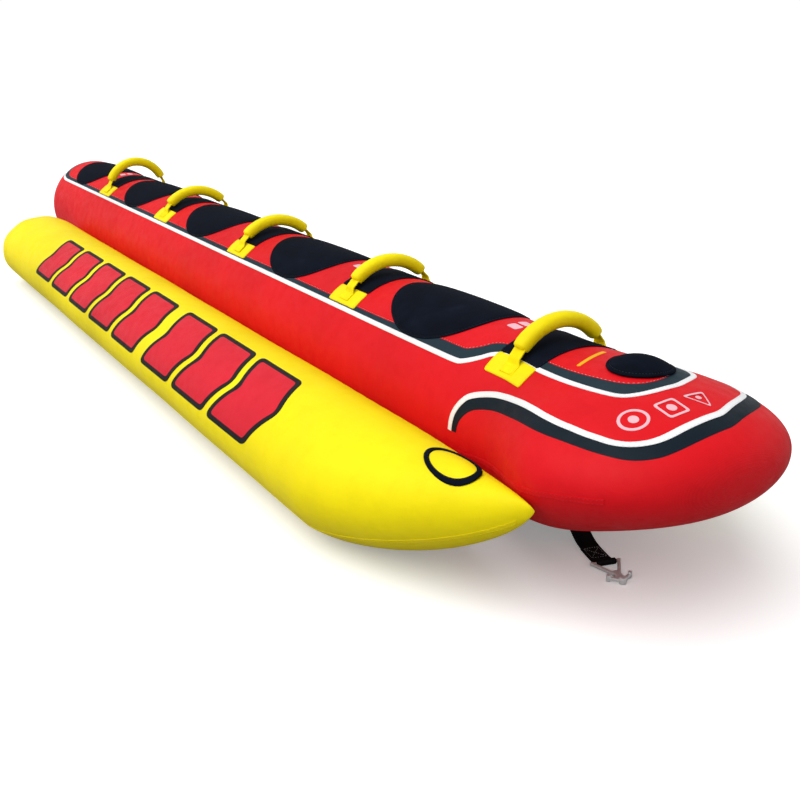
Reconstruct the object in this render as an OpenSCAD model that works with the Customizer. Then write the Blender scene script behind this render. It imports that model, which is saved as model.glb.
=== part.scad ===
// Five-seat in-line towable tube: a long round centre tube that riders straddle, with a lower pontoon on each
// side, all of them inflated bladders inside sewn nylon covers, and a webbing tow strap with a cast hook.
// Millimetres. X runs forward to the nose, Y to port and Z up. The origin is on the floor under the middle.

/* [Centre tube] */
// length of the centre tube from tail tip to nose tip
tube_length = 4460; // [4430:4500]
// radius of the centre tube's straight part
tube_radius = 225; // [224:226]
// height of the centre tube's underside above the floor
tube_lift = 40; // [39:41]
// half width of the nose where it is widest
nose_half_width = 319; // [310:325]
// height of the deck at the nose tip
nose_top = 479; // [475:484]
// height of the underside at the nose tip
nose_bottom = 207; // [200:212]

/* [Pontoons] */
// half width of a pontoon
pontoon_half_width = 188; // [186:188]
// half height of a pontoon
pontoon_half_height = 154; // [152:154]
// distance from the centre plane to a pontoon's inner edge
pontoon_inner = 212; // [212:216]

/* [Skins] */
// drawn thickness of a nylon cover
cover_thickness = 3; // [2.5:3.5]
// drawn thickness of a bladder's skin
bladder_thickness = 3; // [2.5:3.5]
// space between a cover and its bladder
skin_gap = 1.5; // [1.5:2.5]

/* [Seats and handles] */
// distance from one seat to the next
seat_pitch = 750; // [735:750]
// thickness of a seat pad
pad_thickness = 8; // [5:9]
// length of a seat pad along the tube
pad_length = 420; // [400:430]
// arc from the crown to a pad's lobe, in degrees
pad_lobe_angle = 45.5; // [43:46]
// radius of a handle's foam sleeve
grip_radius = 21; // [20:21.5]
// radius of the webbing core inside a sleeve
webbing_radius = 12; // [11:12.5]
// length of a handle's patches along the tube
patch_length = 145; // [143:145]

/* [Tow gear] */
// width of the tow webbing
strap_width = 50; // [48:50]
// thickness of the tow webbing
strap_thickness = 5; // [4:5]
// length of the hook past the bar that the webbing loops round
hook_length = 92; // [90:95]
// radius of the bar that the webbing loops round
hook_bar_radius = 4; // [3.5:4]

/* [Hidden] */
$fn = 64;
side_count = 48;
nose_x = tube_length / 2;
tail_x = -nose_x;
tube_axis_z = tube_lift + tube_radius;
deck_z = tube_lift + 2 * tube_radius;
nose_round_length = 362;
nose_round_power = 2.556;
tail_round_length = 240;
tail_round_power = 2.2;
// the nose widens, its underside rises and its deck falls between these stations
widen_start_x = nose_x - 580;
widen_end_x = nose_x - 250;
rise_start_x = nose_x - 621;
fall_start_x = nose_x - 790;

// handle 5 is the front one, and the others follow it at the pitch
handle_5_x = 1672.5;
handle_x = [for (i = [0:4]) handle_5_x - (4 - i) * seat_pitch];
// height of each sleeve's centre line at its crown: the end ones stand up more
handle_crown_z = [564, 531, 529, 531, 537];
pad_behind_handle = 408;
pad_gap = 0.6;
pad_rear_power = 1.75;
pad_front_power = 2.25;
patch_inner_angle = 30;
patch_outer_angle = 45;
patch_thickness = 2.5;
patch_gap = 0.6;
pivot_angle = 31;
pivot_ball_radius = 13;
pivot_lift = patch_gap + patch_thickness + 0.5 + pivot_ball_radius;
grip_end_angle = 10;
sleeve_clearance = 0.3;

// the valves, and the flaps over them: a large domed one on the nose and a flatter one on each pontoon
nose_valve_x = 1902;
nose_valve_y = 35;
nose_flap_half = [67, 82];
nose_flap_rise = 22;
pontoon_valve_x = 1785;
pontoon_valve_y = -375;
pontoon_flap_half = [83, 49];
pontoon_flap_rise = 7;
flap_gap = 1.5;
flap_thickness = 3;
binding_thickness = 6;
binding_inner_share = 0.8;
binding_clearance_share = 0.01;
binding_edge_lift = 0.8;
cover_hole_radius = 31;
flange_radius = 26;
flange_thickness = 2.5;
neck_radius = 15;
neck_clearance = 0.6;
neck_bore_radius = 10;
seat_bore_radius = 7;
neck_depth = 22;
seat_depth = 14;
seat_thickness = 2;
membrane_thickness = 1.2;
cap_radius = 18;
cap_top = 4;
cap_underside = 2;
cap_skirt_end = -0.8;
cap_plug_end = -4;
neck_top = 1.6;

// where the strap leaves the patch under the nose, and which way it lies
strap_pivot = [1700, 45, 43];
strap_yaw = -16;
strap_loop_reach = 196;
strap_loop_z = 9;
loop_clearance = 0.5;
loop_outer_radius = hook_bar_radius + loop_clearance + 4;
// the strap's centre line from its sewn end down to the floor: [forward, height]
strap_line = [[0, 43], [18, 41], [40, 33], [62, 21.5], [84, 11], [106, 5.6], [130, 3.6], [168, 3.6],
    [182, 4.4], [188, 5.4]];

// eases from 0 at a to 1 at b
function ease(a, b, x) = let (t = min(1, max(0, (x - a) / (b - a)))) t * t * (3 - 2 * t);
// share of the full section left at a share k of the way along a rounded end, 0 at its tip
function rounding(k, p) = pow(max(0, 1 - pow(1 - min(1, max(0, k)), p)), 1 / p);

// section of the centre tube at x, drawn in by d on every side: [half width, centre height, half height]
function tube_section(x, d = 0) =
    let (nose = rounding((nose_x - d - x) / (nose_round_length - d), nose_round_power))
    let (tail = rounding((x - tail_x - d) / (tail_round_length - d), tail_round_power))
    let (w = tube_radius + (nose_half_width - tube_radius) * ease(widen_start_x, widen_end_x, x))
    let (top = deck_z + (nose_top - deck_z) * ease(fall_start_x, nose_x, x))
    let (bottom = tube_lift + (nose_bottom - tube_lift) * ease(rise_start_x, nose_x, x))
    [(w - d) * nose * tail, (top + bottom) / 2, ((top - bottom) / 2 - d) * nose * tail];

// a point on the centre tube's skin at x, angle a from its crown towards port, raised by lift
function tube_point(x, a, lift = 0) =
    let (s = tube_section(x))
    [x, (s[0] + lift) * sin(a), s[1] + (s[2] + lift) * cos(a)];

// height of the centre tube's skin above (x, y)
function tube_top(x, y) = let (s = tube_section(x)) s[1] + s[2] * sqrt(max(0, 1 - pow(y / s[0], 2)));

// stations along the centre tube: those in the two rounded ends follow the rounding's own curve
function tail_stations(d) =
    [for (q = [80, 68, 56, 44, 32, 20, 10])
        tail_x + d + (tail_round_length - d) * (1 - pow(sin(q), 2 / tail_round_power))];
function nose_stations(d) =
    [for (q = [12, 22, 32, 42, 52, 61, 69, 76, 82])
        nose_x - nose_round_length + (nose_round_length - d) * pow(sin(q), 2 / nose_round_power)];
patch_x0 = handle_5_x - patch_length / 2;
body_stations = concat(
    [tail_x + tail_round_length, -600, 600, 1440, 1520],
    [for (i = [0:4]) patch_x0 + patch_length * i / 4],
    [1785, 1825]);
function tube_rings(d) =
    [for (x = concat(tail_stations(d), body_stations, nose_stations(d)))
        let (s = tube_section(x, d)) [x, 0, s[1], s[0], s[2]]];

// a pontoon's own ends and their rounding: its lowest facet lies flat on the floor
pontoon_side_count = 36;
pontoon_axis_z = pontoon_half_height * cos(180 / pontoon_side_count);
pontoon_tail_x = -1733;
pontoon_nose_x = 1989;
pontoon_tail_length = 162;
pontoon_tail_power = 2.046;
pontoon_nose_length = 549;
pontoon_nose_power = 1.47;
// how the section's width and height follow the nose's rounding
pontoon_width_power = 1.32;
pontoon_height_power = 0.9;
// the section's centre runs in and up towards this point at the tip
pontoon_tip_y = 318;
pontoon_tip_z = 268;
pontoon_tip_y_power = 0.95;
pontoon_tip_z_power = 1.32;
// an inner skin's tip is drawn back by this many times its depth
pontoon_tip_inset = 2.5;

// section of the starboard pontoon at x, drawn in by d: [centre y, centre z, half width, half height]
function pontoon_section(x, d = 0) =
    let (tail = rounding((x - pontoon_tail_x - d) / (pontoon_tail_length - d), pontoon_tail_power))
    let (inset = pontoon_tip_inset * d)
    let (run = pontoon_nose_length - inset)
    let (nose = rounding((pontoon_nose_x - inset - x) / run, pontoon_nose_power))
    let (full = rounding((pontoon_nose_x - x) / pontoon_nose_length, pontoon_nose_power))
    let (out = pontoon_inner + pontoon_half_width - pontoon_tip_y)
    [-(pontoon_tip_y + out * pow(full, pontoon_tip_y_power)),
     pontoon_tip_z + (pontoon_axis_z - pontoon_tip_z) * pow(full, pontoon_tip_z_power),
     (pontoon_half_width - d) * tail * pow(nose, pontoon_width_power),
     (pontoon_half_height - d) * tail * pow(nose, pontoon_height_power)];
function pontoon_top(x, y) =
    let (s = pontoon_section(x))
    s[1] + s[3] * sqrt(max(0, 1 - pow((y - s[0]) / s[2], 2)));
function pontoon_rings(d) =
    let (a = [for (q = [76, 60, 44, 28, 12])
        pontoon_tail_x + d + (pontoon_tail_length - d) * (1 - pow(sin(q), 2 / pontoon_tail_power))])
    let (b = [for (q = [10, 20, 30, 40, 49, 57, 64, 71, 77, 82])
        pontoon_nose_x - pontoon_nose_length
            + (pontoon_nose_length - pontoon_tip_inset * d) * pow(sin(q), 2 / pontoon_nose_power)])
    let (middle = [pontoon_tail_x + pontoon_tail_length, -400, 500, pontoon_nose_x - pontoon_nose_length])
    [for (x = concat(a, middle, b))
        let (s = pontoon_section(x, d)) [x, s[0], s[1], s[2], s[3]]];

// closed solid through elliptical rings [x, y, z, half width, half height], with a point at each end
module loft(rings, tail_tip, nose_tip, n, phase) {
    last = len(rings) - 1;
    pts = concat(
        [tail_tip],
        [for (r = rings, j = [0:n - 1])
            let (a = 360 * (j + phase) / n)
            [r[0], r[1] + r[3] * sin(a), r[2] + r[4] * cos(a)]],
        [nose_tip]);
    faces = concat(
        [for (j = [0:n - 1]) [0, 1 + (j + 1) % n, 1 + j]],
        [for (i = [0:last - 1], j = [0:n - 1])
            [1 + i * n + j, 1 + i * n + (j + 1) % n, 1 + (i + 1) * n + j]],
        [for (i = [0:last - 1], j = [0:n - 1])
            [1 + i * n + (j + 1) % n, 1 + (i + 1) * n + (j + 1) % n, 1 + (i + 1) * n + j]],
        [for (j = [0:n - 1]) [1 + last * n + j, 1 + last * n + (j + 1) % n, 1 + (last + 1) * n]]);
    polyhedron(points = pts, faces = faces, convexity = 4);
}

// the centre tube's outer shape, drawn in by d
module tube_body(d, n = side_count) {
    tail_z = tube_section(tail_x + d)[1];
    tip_z = tube_section(nose_x - d)[1];
    loft(tube_rings(d), [tail_x + d, 0, tail_z], [nose_x - d, 0, tip_z], n, 0);
}

// the starboard pontoon's outer shape, drawn in by d
module pontoon_body(d, n = pontoon_side_count) {
    s = pontoon_section(pontoon_tail_x + d);
    tip = pontoon_nose_x - pontoon_tip_inset * d;
    e = pontoon_section(tip);
    loft(pontoon_rings(d), [pontoon_tail_x + d, s[0], s[1]], [tip, e[0], e[1]], n, 0.5);
}

// a curved panel that lies on the centre tube between stations x0 and x1 and angles a0 and a1
module skin_panel(x0, x1, a0, a1, gap, thick, nx, na) {
    row = na + 1;
    layer = (nx + 1) * row;
    pts = [for (lift = [gap, gap + thick], i = [0:nx], j = [0:na])
        tube_point(x0 + (x1 - x0) * i / nx, a0 + (a1 - a0) * j / na, lift)];
    quads = concat(
        [for (i = [0:nx - 1], j = [0:na - 1])
            [i * row + j, (i + 1) * row + j, (i + 1) * row + j + 1, i * row + j + 1]],
        [for (i = [0:nx - 1], j = [0:na - 1])
            [layer + i * row + j, layer + i * row + j + 1, layer + (i + 1) * row + j + 1,
                layer + (i + 1) * row + j]],
        [for (j = [0:na - 1]) [j, j + 1, layer + j + 1, layer + j]],
        [for (j = [0:na - 1])
            [nx * row + j + 1, nx * row + j, layer + nx * row + j, layer + nx * row + j + 1]],
        [for (i = [0:nx - 1]) [(i + 1) * row, i * row, layer + i * row, layer + (i + 1) * row]],
        [for (i = [0:nx - 1])
            [i * row + na, (i + 1) * row + na, layer + (i + 1) * row + na, layer + i * row + na]]);
    polyhedron(
        points = pts,
        faces = [for (q = quads, k = [0, 1]) k == 0 ? [q[0], q[1], q[2]] : [q[0], q[2], q[3]]],
        convexity = 4);
}

// height of the skin that a flap lies on
function skin_top(on_tube, x, y) = on_tube ? tube_top(x, y) : pontoon_top(x, y);

// an oval flap over the skin round c: section lists [share of the half size, height over the skin] on a
// path from the middle of its top, out over its edge and back to the middle of its underside
module skin_disc(c, half, section, on_tube, n = 32) {
    m = len(section) - 2;
    pts = concat(
        [[c[0], c[1], skin_top(on_tube, c[0], c[1]) + section[0][1]]],
        [for (i = [1:m], j = [0:n - 1])
            let (x = c[0] + half[0] * section[i][0] * cos(360 * j / n))
            let (y = c[1] + half[1] * section[i][0] * sin(360 * j / n))
            [x, y, skin_top(on_tube, x, y) + section[i][1]]],
        [[c[0], c[1], skin_top(on_tube, c[0], c[1]) + section[m + 1][1]]]);
    faces = concat(
        [for (j = [0:n - 1]) [0, 1 + (j + 1) % n, 1 + j]],
        [for (i = [0:m - 2], j = [0:n - 1])
            [1 + i * n + j, 1 + i * n + (j + 1) % n, 1 + (i + 1) * n + j]],
        [for (i = [0:m - 2], j = [0:n - 1])
            [1 + i * n + (j + 1) % n, 1 + (i + 1) * n + (j + 1) % n, 1 + (i + 1) * n + j]],
        [for (j = [0:n - 1]) [1 + (m - 1) * n + j, 1 + (m - 1) * n + (j + 1) % n, 1 + m * n]]);
    polyhedron(points = pts, faces = faces, convexity = 4);
}

// a band over the skin round c, with the same kind of section as a closed loop
module skin_band(c, half, section, on_tube, n = 32) {
    m = len(section);
    pts = [for (s = section, j = [0:n - 1])
        let (x = c[0] + half[0] * s[0] * cos(360 * j / n))
        let (y = c[1] + half[1] * s[0] * sin(360 * j / n))
        [x, y, skin_top(on_tube, x, y) + s[1]]];
    faces = [for (i = [0:m - 1], j = [0:n - 1], k = [0, 1])
        let (a = i * n + j)
        let (b = i * n + (j + 1) % n)
        let (u = ((i + 1) % m) * n + j)
        let (v = ((i + 1) % m) * n + (j + 1) % n)
        k == 0 ? [a, b, u] : [b, v, u]];
    polyhedron(points = pts, faces = faces, convexity = 4);
}

// section of a domed flap: shares out to 1 on top, then back underneath
function dome_section(rise, share) =
    let (steps = [0, 0.3, 0.55, 0.75, 0.9, 1])
    concat(
        [for (r = steps) [r * share, flap_gap + flap_thickness + rise * (1 - r * r)]],
        [for (i = [5:-1:0]) [steps[i] * share, flap_gap + rise * (1 - steps[i] * steps[i])]]);

// puts children on the skin at (x, y) with +Z along the skin's outward normal
module on_skin(on_tube, x, y) {
    sx = (skin_top(on_tube, x + 1, y) - skin_top(on_tube, x - 1, y)) / 2;
    sy = (skin_top(on_tube, x, y + 1) - skin_top(on_tube, x, y - 1)) / 2;
    translate([x, y, skin_top(on_tube, x, y)])
        rotate([0, atan(norm([sx, sy])), atan2(-sy, -sx)])
            children();
}

// the bladder's skin lies this far under the cover's
bladder_depth = cover_thickness + skin_gap;

module valve_body_shape() {
    bladder_top = -bladder_depth + 0.4;
    rotate_extrude()
        polygon([
            [seat_bore_radius, -seat_depth - seat_thickness],
            [neck_bore_radius, -seat_depth - seat_thickness],
            [neck_bore_radius, -neck_depth],
            [neck_radius, -neck_depth],
            [neck_radius, bladder_top],
            [flange_radius, bladder_top],
            [flange_radius, bladder_top + flange_thickness],
            [neck_radius, bladder_top + flange_thickness],
            [neck_radius, neck_top],
            [neck_bore_radius, neck_top],
            [neck_bore_radius, -seat_depth],
            [seat_bore_radius, -seat_depth]]);
}
module valve_membrane_shape() {
    translate([0, 0, -seat_depth + 0.1])
        cylinder(h = membrane_thickness, r = neck_bore_radius - 0.4);
}
module valve_cap_shape() {
    rotate_extrude()
        polygon([
            [0, cap_plug_end],
            [neck_bore_radius - 0.4, cap_plug_end],
            [neck_bore_radius - 0.4, cap_underside],
            [neck_radius + 0.4, cap_underside],
            [neck_radius + 0.4, cap_skirt_end],
            [cap_radius, cap_skirt_end],
            [cap_radius, cap_top - 1],
            [cap_radius - 1, cap_top],
            [0, cap_top]]);
}

// holes that a valve needs: in the cover it shows through, and in the bladder it is welded to
module valve_hole(r) {
    translate([0, 0, -20])
        cylinder(h = 40, r = r);
}

// a seat pad's outline in plan: the lobes hang down the tube's sides, so the outline narrows with the arc
module pad_outline() {
    half = pad_length / 2;
    pts = [for (i = [0:47])
        let (q = 360 * i / 48)
        let (p = cos(q) > 0 ? pad_front_power : pad_rear_power)
        let (along = sign(cos(q)) * pow(abs(cos(q)), 2 / p))
        let (arc = sign(sin(q)) * pow(abs(sin(q)), 2 / p))
        [half * along, (tube_radius + pad_gap) * sin(pad_lobe_angle * arc)]];
    polygon(pts);
}
module seat_pad(i) {
    inner = tube_radius + pad_gap;
    x = handle_x[i] - pad_behind_handle;
    intersection() {
        translate([x - pad_length, 0, tube_axis_z])
            rotate([0, 90, 0])
                difference() {
                    cylinder(h = 2 * pad_length, r = inner + pad_thickness, $fn = 192);
                    translate([0, 0, -1])
                        cylinder(h = 2 * pad_length + 2, r = inner, $fn = 192);
                }
        translate([x, 0, tube_axis_z])
            linear_extrude(height = 2 * tube_radius)
                pad_outline();
    }
}

module handle_patch_pair(i) {
    x0 = handle_x[i] - patch_length / 2;
    x1 = handle_x[i] + patch_length / 2;
    for (side = [-1, 1])
        skin_panel(x0, x1,
            side > 0 ? patch_inner_angle : -patch_outer_angle,
            side > 0 ? patch_outer_angle : -patch_inner_angle,
            patch_gap, patch_thickness, 4, 2);
}
module knuckle_panel(i) {
    x0 = handle_x[i] - patch_length / 2;
    x1 = handle_x[i] + patch_length / 2;
    reach = patch_inner_angle - 0.5;
    skin_panel(x0, x1, -reach, reach, patch_gap, patch_thickness, 4, 8);
}

// a handle's arch: [half span, pivot height, arc radius, half angle]
function arch(i) =
    let (p = tube_point(handle_x[i], pivot_angle, pivot_lift))
    let (rise = handle_crown_z[i] - p[2])
    let (r = (p[1] * p[1] + rise * rise) / (2 * rise))
    [p[1], p[2], r, asin(p[1] / r)];
// an arc of the given profile across the deck, half_angle to each side of its crown
module arch_sweep(i, half_angle) {
    r = arch(i)[2];
    translate([handle_x[i], 0, handle_crown_z[i] - r])
        rotate([90, 0, 90])
            rotate([0, 0, 90 - half_angle])
                rotate_extrude(angle = 2 * half_angle)
                    translate([r, 0])
                        children();
}
module handle_webbing(i) {
    a = arch(i);
    arch_sweep(i, a[3])
        circle(r = webbing_radius);
    for (side = [-1, 1])
        translate([handle_x[i], side * a[0], a[1]])
            sphere(r = pivot_ball_radius);
}
module handle_grip(i) {
    arch_sweep(i, arch(i)[3] - grip_end_angle)
        difference() {
            circle(r = grip_radius);
            circle(r = webbing_radius + sleeve_clearance);
        }
}

// outline of a strip of the given thickness along a line of points
function strip(line, thick) =
    let (n = len(line))
    let (side = [for (i = [0:n - 1])
        let (a = line[max(0, i - 1)])
        let (b = line[min(n - 1, i + 1)])
        let (u = (b - a) / norm(b - a))
        [-u[1], u[0]] * thick / 2])
    concat([for (i = [0:n - 1]) line[i] + side[i]], [for (i = [n - 1:-1:0]) line[i] - side[i]]);

// puts children at the strap's sewn end with X along the strap
module strap_frame() {
    translate([strap_pivot[0], strap_pivot[1], 0])
        rotate([0, 0, strap_yaw])
            children();
}
// a bar across the strap's width, at the given distance along it and height
module across_strap(p, r, width) {
    translate([p[0], 0, p[1]])
        rotate([90, 0, 0])
            cylinder(h = width, r = r, center = true);
}
module strap_shape() {
    loop = [strap_loop_reach, strap_loop_z];
    difference() {
        union() {
            rotate([90, 0, 0])
                linear_extrude(height = strap_width, center = true)
                    polygon(strip(strap_line, strap_thickness));
            across_strap([0, strap_pivot[2]], strap_thickness / 2, strap_width);
            across_strap(loop, loop_outer_radius, strap_width);
        }
        across_strap(loop, hook_bar_radius + loop_clearance, strap_width + 2);
    }
}

hook_thickness = 9;
hook_arm_width = 8;
hook_half_width = strap_width / 2 + 9.5;
hook_neck_x = 54;
hook_neck_half = 7;
shank_half_width = 9;
crown_radius = 8.5;
crown_x = hook_length - crown_radius;
fluke_width = 8;
fluke_tip = [hook_length - 26, 27];
fluke_root_half = 3;
fluke_post_radius = 5;
// the hook's links differ a little in thickness, and their ends stand a little proud
arm_thickness = hook_thickness - 1.2;
arm_boss = 0.3;
fluke_thickness = hook_thickness - 1.6;
fluke_boss = 0.4;
shank_thickness = hook_thickness - 1;
shank_boss = 0.5;

// a flat link of the given width between two points, with a slightly proud round boss at each end
module link(a, b, width, height, boss) {
    d = b - a;
    translate([a[0], a[1], 0]) {
        rotate([0, 0, atan2(d[1], d[0])])
            translate([0, -width / 2, -height / 2])
                cube([norm(d), width, height]);
        cylinder(h = height + 2 * boss, r = width / 2 + boss, center = true);
        translate([d[0], d[1], 0])
            cylinder(h = height + 2 * boss, r = width / 2 + boss, center = true);
    }
}
module hook_shape() {
    rotate([90, 0, 0])
        cylinder(h = 2 * hook_half_width, r = hook_bar_radius, center = true);
    for (side = [-1, 1]) {
        link([0, side * hook_half_width], [hook_neck_x, side * hook_neck_half],
            hook_arm_width, arm_thickness, arm_boss);
        link([crown_x, side * fluke_root_half], [fluke_tip[0], side * fluke_tip[1]],
            fluke_width, fluke_thickness, fluke_boss);
        translate([fluke_tip[0], side * fluke_tip[1], 0])
            cylinder(h = 2 * crown_radius, r = fluke_post_radius, center = true);
    }
    link([hook_neck_x, 0], [crown_x, 0], 2 * shank_half_width, shank_thickness, shank_boss);
    translate([crown_x, 0, 0])
        cylinder(h = 2 * crown_radius, r = crown_radius, center = true);
}

// the joining web stands in the narrow gap between the centre tube and a pontoon
web_angle = 18;
web_distance = tube_radius + 2.4;
web_height = 56;
web_thickness = 3;
web_x0 = -1560;
web_x1 = 1270;
module join_web() {
    translate([web_x0, -web_distance * cos(web_angle), tube_axis_z - web_distance * sin(web_angle)])
        rotate([web_angle, 0, 0])
            translate([0, -web_thickness / 2, -web_height / 2])
                cube([web_x1 - web_x0, web_thickness, web_height]);
}

zip_x0 = -1900;
zip_length = 500;
zip_tape_width = 30;
zip_chain_width = 6;
zip_layer = 1.5;
zip_tape_top = tube_lift - 0.5;
zip_slider_size = [20, 14, 5];

eyelet_x = -2080;
eyelet_flange_radius = 15;
eyelet_neck_radius = 8;
eyelet_bore_radius = 5;
// puts children on the underside of the tail with +Z pointing out of the cover
module on_tail_underside() {
    s = tube_section(eyelet_x);
    slope = (tube_section(eyelet_x + 1)[2] - tube_section(eyelet_x - 1)[2]) / 2;
    translate([eyelet_x, 0, s[1] - s[2]])
        rotate([0, 180 + atan(slope), 0])
            children();
}

module center_cover() color([0.80, 0.08, 0.10]) {
    difference() {
        tube_body(0);
        union() {
            tube_body(cover_thickness);
            on_skin(true, nose_valve_x, nose_valve_y)
                valve_hole(cover_hole_radius);
            on_tail_underside()
                valve_hole(eyelet_neck_radius + 0.4);
        }
    }
}
module center_bladder() color([0.16, 0.16, 0.18]) {
    difference() {
        tube_body(bladder_depth, 32);
        union() {
            tube_body(bladder_depth + bladder_thickness, 32);
            on_skin(true, nose_valve_x, nose_valve_y)
                valve_hole(neck_radius + neck_clearance);
        }
    }
}
module starboard_pontoon_cover() color([0.96, 0.86, 0.06]) {
    difference() {
        pontoon_body(0);
        union() {
            pontoon_body(cover_thickness);
            on_skin(false, pontoon_valve_x, pontoon_valve_y)
                valve_hole(cover_hole_radius);
        }
    }
}
module starboard_pontoon_bladder() color([0.16, 0.16, 0.18]) {
    difference() {
        pontoon_body(bladder_depth, 24);
        union() {
            pontoon_body(bladder_depth + bladder_thickness, 24);
            on_skin(false, pontoon_valve_x, pontoon_valve_y)
                valve_hole(neck_radius + neck_clearance);
        }
    }
}
module starboard_join_web() color([0.80, 0.08, 0.10]) {
    join_web();
}
module starboard_valve_flap() color([0.96, 0.86, 0.06]) {
    skin_disc([pontoon_valve_x, pontoon_valve_y], pontoon_flap_half,
        dome_section(pontoon_flap_rise, binding_inner_share), false);
}
module starboard_valve_flap_binding() color([0.06, 0.06, 0.07]) {
    skin_band([pontoon_valve_x, pontoon_valve_y], pontoon_flap_half,
        [[binding_inner_share + binding_clearance_share, flap_gap],
            [binding_inner_share + binding_clearance_share, flap_gap + binding_thickness],
            [1, flap_gap + binding_thickness],
            [1, flap_gap + binding_edge_lift]],
        false);
}
module starboard_valve_body() color([0.35, 0.36, 0.38]) {
    on_skin(false, pontoon_valve_x, pontoon_valve_y)
        valve_body_shape();
}
module starboard_valve_membrane() color([0.06, 0.06, 0.07]) {
    on_skin(false, pontoon_valve_x, pontoon_valve_y)
        valve_membrane_shape();
}
module starboard_valve_cap() color([0.35, 0.36, 0.38]) {
    on_skin(false, pontoon_valve_x, pontoon_valve_y)
        valve_cap_shape();
}
module port_pontoon_cover() color([0.96, 0.86, 0.06]) {
    mirror([0, 1, 0])
        difference() {
            pontoon_body(0);
            union() {
                pontoon_body(cover_thickness);
                on_skin(false, pontoon_valve_x, pontoon_valve_y)
                    valve_hole(cover_hole_radius);
            }
        }
}
module port_pontoon_bladder() color([0.16, 0.16, 0.18]) {
    mirror([0, 1, 0])
        difference() {
            pontoon_body(bladder_depth, 24);
            union() {
                pontoon_body(bladder_depth + bladder_thickness, 24);
                on_skin(false, pontoon_valve_x, pontoon_valve_y)
                    valve_hole(neck_radius + neck_clearance);
            }
        }
}
module port_join_web() color([0.80, 0.08, 0.10]) {
    mirror([0, 1, 0])
        join_web();
}
module port_valve_flap() color([0.96, 0.86, 0.06]) {
    mirror([0, 1, 0])
        skin_disc([pontoon_valve_x, pontoon_valve_y], pontoon_flap_half,
            dome_section(pontoon_flap_rise, binding_inner_share), false);
}
module port_valve_flap_binding() color([0.06, 0.06, 0.07]) {
    mirror([0, 1, 0])
        skin_band([pontoon_valve_x, pontoon_valve_y], pontoon_flap_half,
            [[binding_inner_share + binding_clearance_share, flap_gap],
                [binding_inner_share + binding_clearance_share, flap_gap + binding_thickness],
                [1, flap_gap + binding_thickness],
                [1, flap_gap + binding_edge_lift]],
            false);
}
module port_valve_body() color([0.35, 0.36, 0.38]) {
    mirror([0, 1, 0])
        on_skin(false, pontoon_valve_x, pontoon_valve_y)
            valve_body_shape();
}
module port_valve_membrane() color([0.06, 0.06, 0.07]) {
    mirror([0, 1, 0])
        on_skin(false, pontoon_valve_x, pontoon_valve_y)
            valve_membrane_shape();
}
module port_valve_cap() color([0.35, 0.36, 0.38]) {
    mirror([0, 1, 0])
        on_skin(false, pontoon_valve_x, pontoon_valve_y)
            valve_cap_shape();
}
module center_valve_flap() color([0.06, 0.06, 0.07]) {
    skin_disc([nose_valve_x, nose_valve_y], nose_flap_half, dome_section(nose_flap_rise, 1), true);
}
module center_valve_body() color([0.35, 0.36, 0.38]) {
    on_skin(true, nose_valve_x, nose_valve_y)
        valve_body_shape();
}
module center_valve_membrane() color([0.06, 0.06, 0.07]) {
    on_skin(true, nose_valve_x, nose_valve_y)
        valve_membrane_shape();
}
module center_valve_cap() color([0.35, 0.36, 0.38]) {
    on_skin(true, nose_valve_x, nose_valve_y)
        valve_cap_shape();
}
module seat_pad_1() color([0.06, 0.06, 0.07]) {
    seat_pad(0);
}
module handle_patches_1() color([0.96, 0.86, 0.06]) {
    handle_patch_pair(0);
}
module knuckle_guard_1() color([0.06, 0.06, 0.07]) {
    knuckle_panel(0);
}
module handle_webbing_1() color([0.96, 0.86, 0.06]) {
    handle_webbing(0);
}
module handle_grip_1() color([0.96, 0.86, 0.06]) {
    handle_grip(0);
}
module seat_pad_2() color([0.06, 0.06, 0.07]) {
    seat_pad(1);
}
module handle_patches_2() color([0.96, 0.86, 0.06]) {
    handle_patch_pair(1);
}
module knuckle_guard_2() color([0.06, 0.06, 0.07]) {
    knuckle_panel(1);
}
module handle_webbing_2() color([0.96, 0.86, 0.06]) {
    handle_webbing(1);
}
module handle_grip_2() color([0.96, 0.86, 0.06]) {
    handle_grip(1);
}
module seat_pad_3() color([0.06, 0.06, 0.07]) {
    seat_pad(2);
}
module handle_patches_3() color([0.96, 0.86, 0.06]) {
    handle_patch_pair(2);
}
module knuckle_guard_3() color([0.06, 0.06, 0.07]) {
    knuckle_panel(2);
}
module handle_webbing_3() color([0.96, 0.86, 0.06]) {
    handle_webbing(2);
}
module handle_grip_3() color([0.96, 0.86, 0.06]) {
    handle_grip(2);
}
module seat_pad_4() color([0.06, 0.06, 0.07]) {
    seat_pad(3);
}
module handle_patches_4() color([0.96, 0.86, 0.06]) {
    handle_patch_pair(3);
}
module knuckle_guard_4() color([0.06, 0.06, 0.07]) {
    knuckle_panel(3);
}
module handle_webbing_4() color([0.96, 0.86, 0.06]) {
    handle_webbing(3);
}
module handle_grip_4() color([0.96, 0.86, 0.06]) {
    handle_grip(3);
}
module seat_pad_5() color([0.06, 0.06, 0.07]) {
    seat_pad(4);
}
module handle_patches_5() color([0.96, 0.86, 0.06]) {
    handle_patch_pair(4);
}
module knuckle_guard_5() color([0.06, 0.06, 0.07]) {
    knuckle_panel(4);
}
module handle_webbing_5() color([0.96, 0.86, 0.06]) {
    handle_webbing(4);
}
module handle_grip_5() color([0.96, 0.86, 0.06]) {
    handle_grip(4);
}
module tow_patch() color([0.06, 0.06, 0.07]) {
    skin_panel(patch_x0 + patch_length / 4, patch_x0 + patch_length, 157.5, 202.5,
        patch_gap, patch_thickness, 3, 6);
}
module tow_strap() color([0.06, 0.06, 0.07]) {
    strap_frame()
        strap_shape();
}
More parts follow.
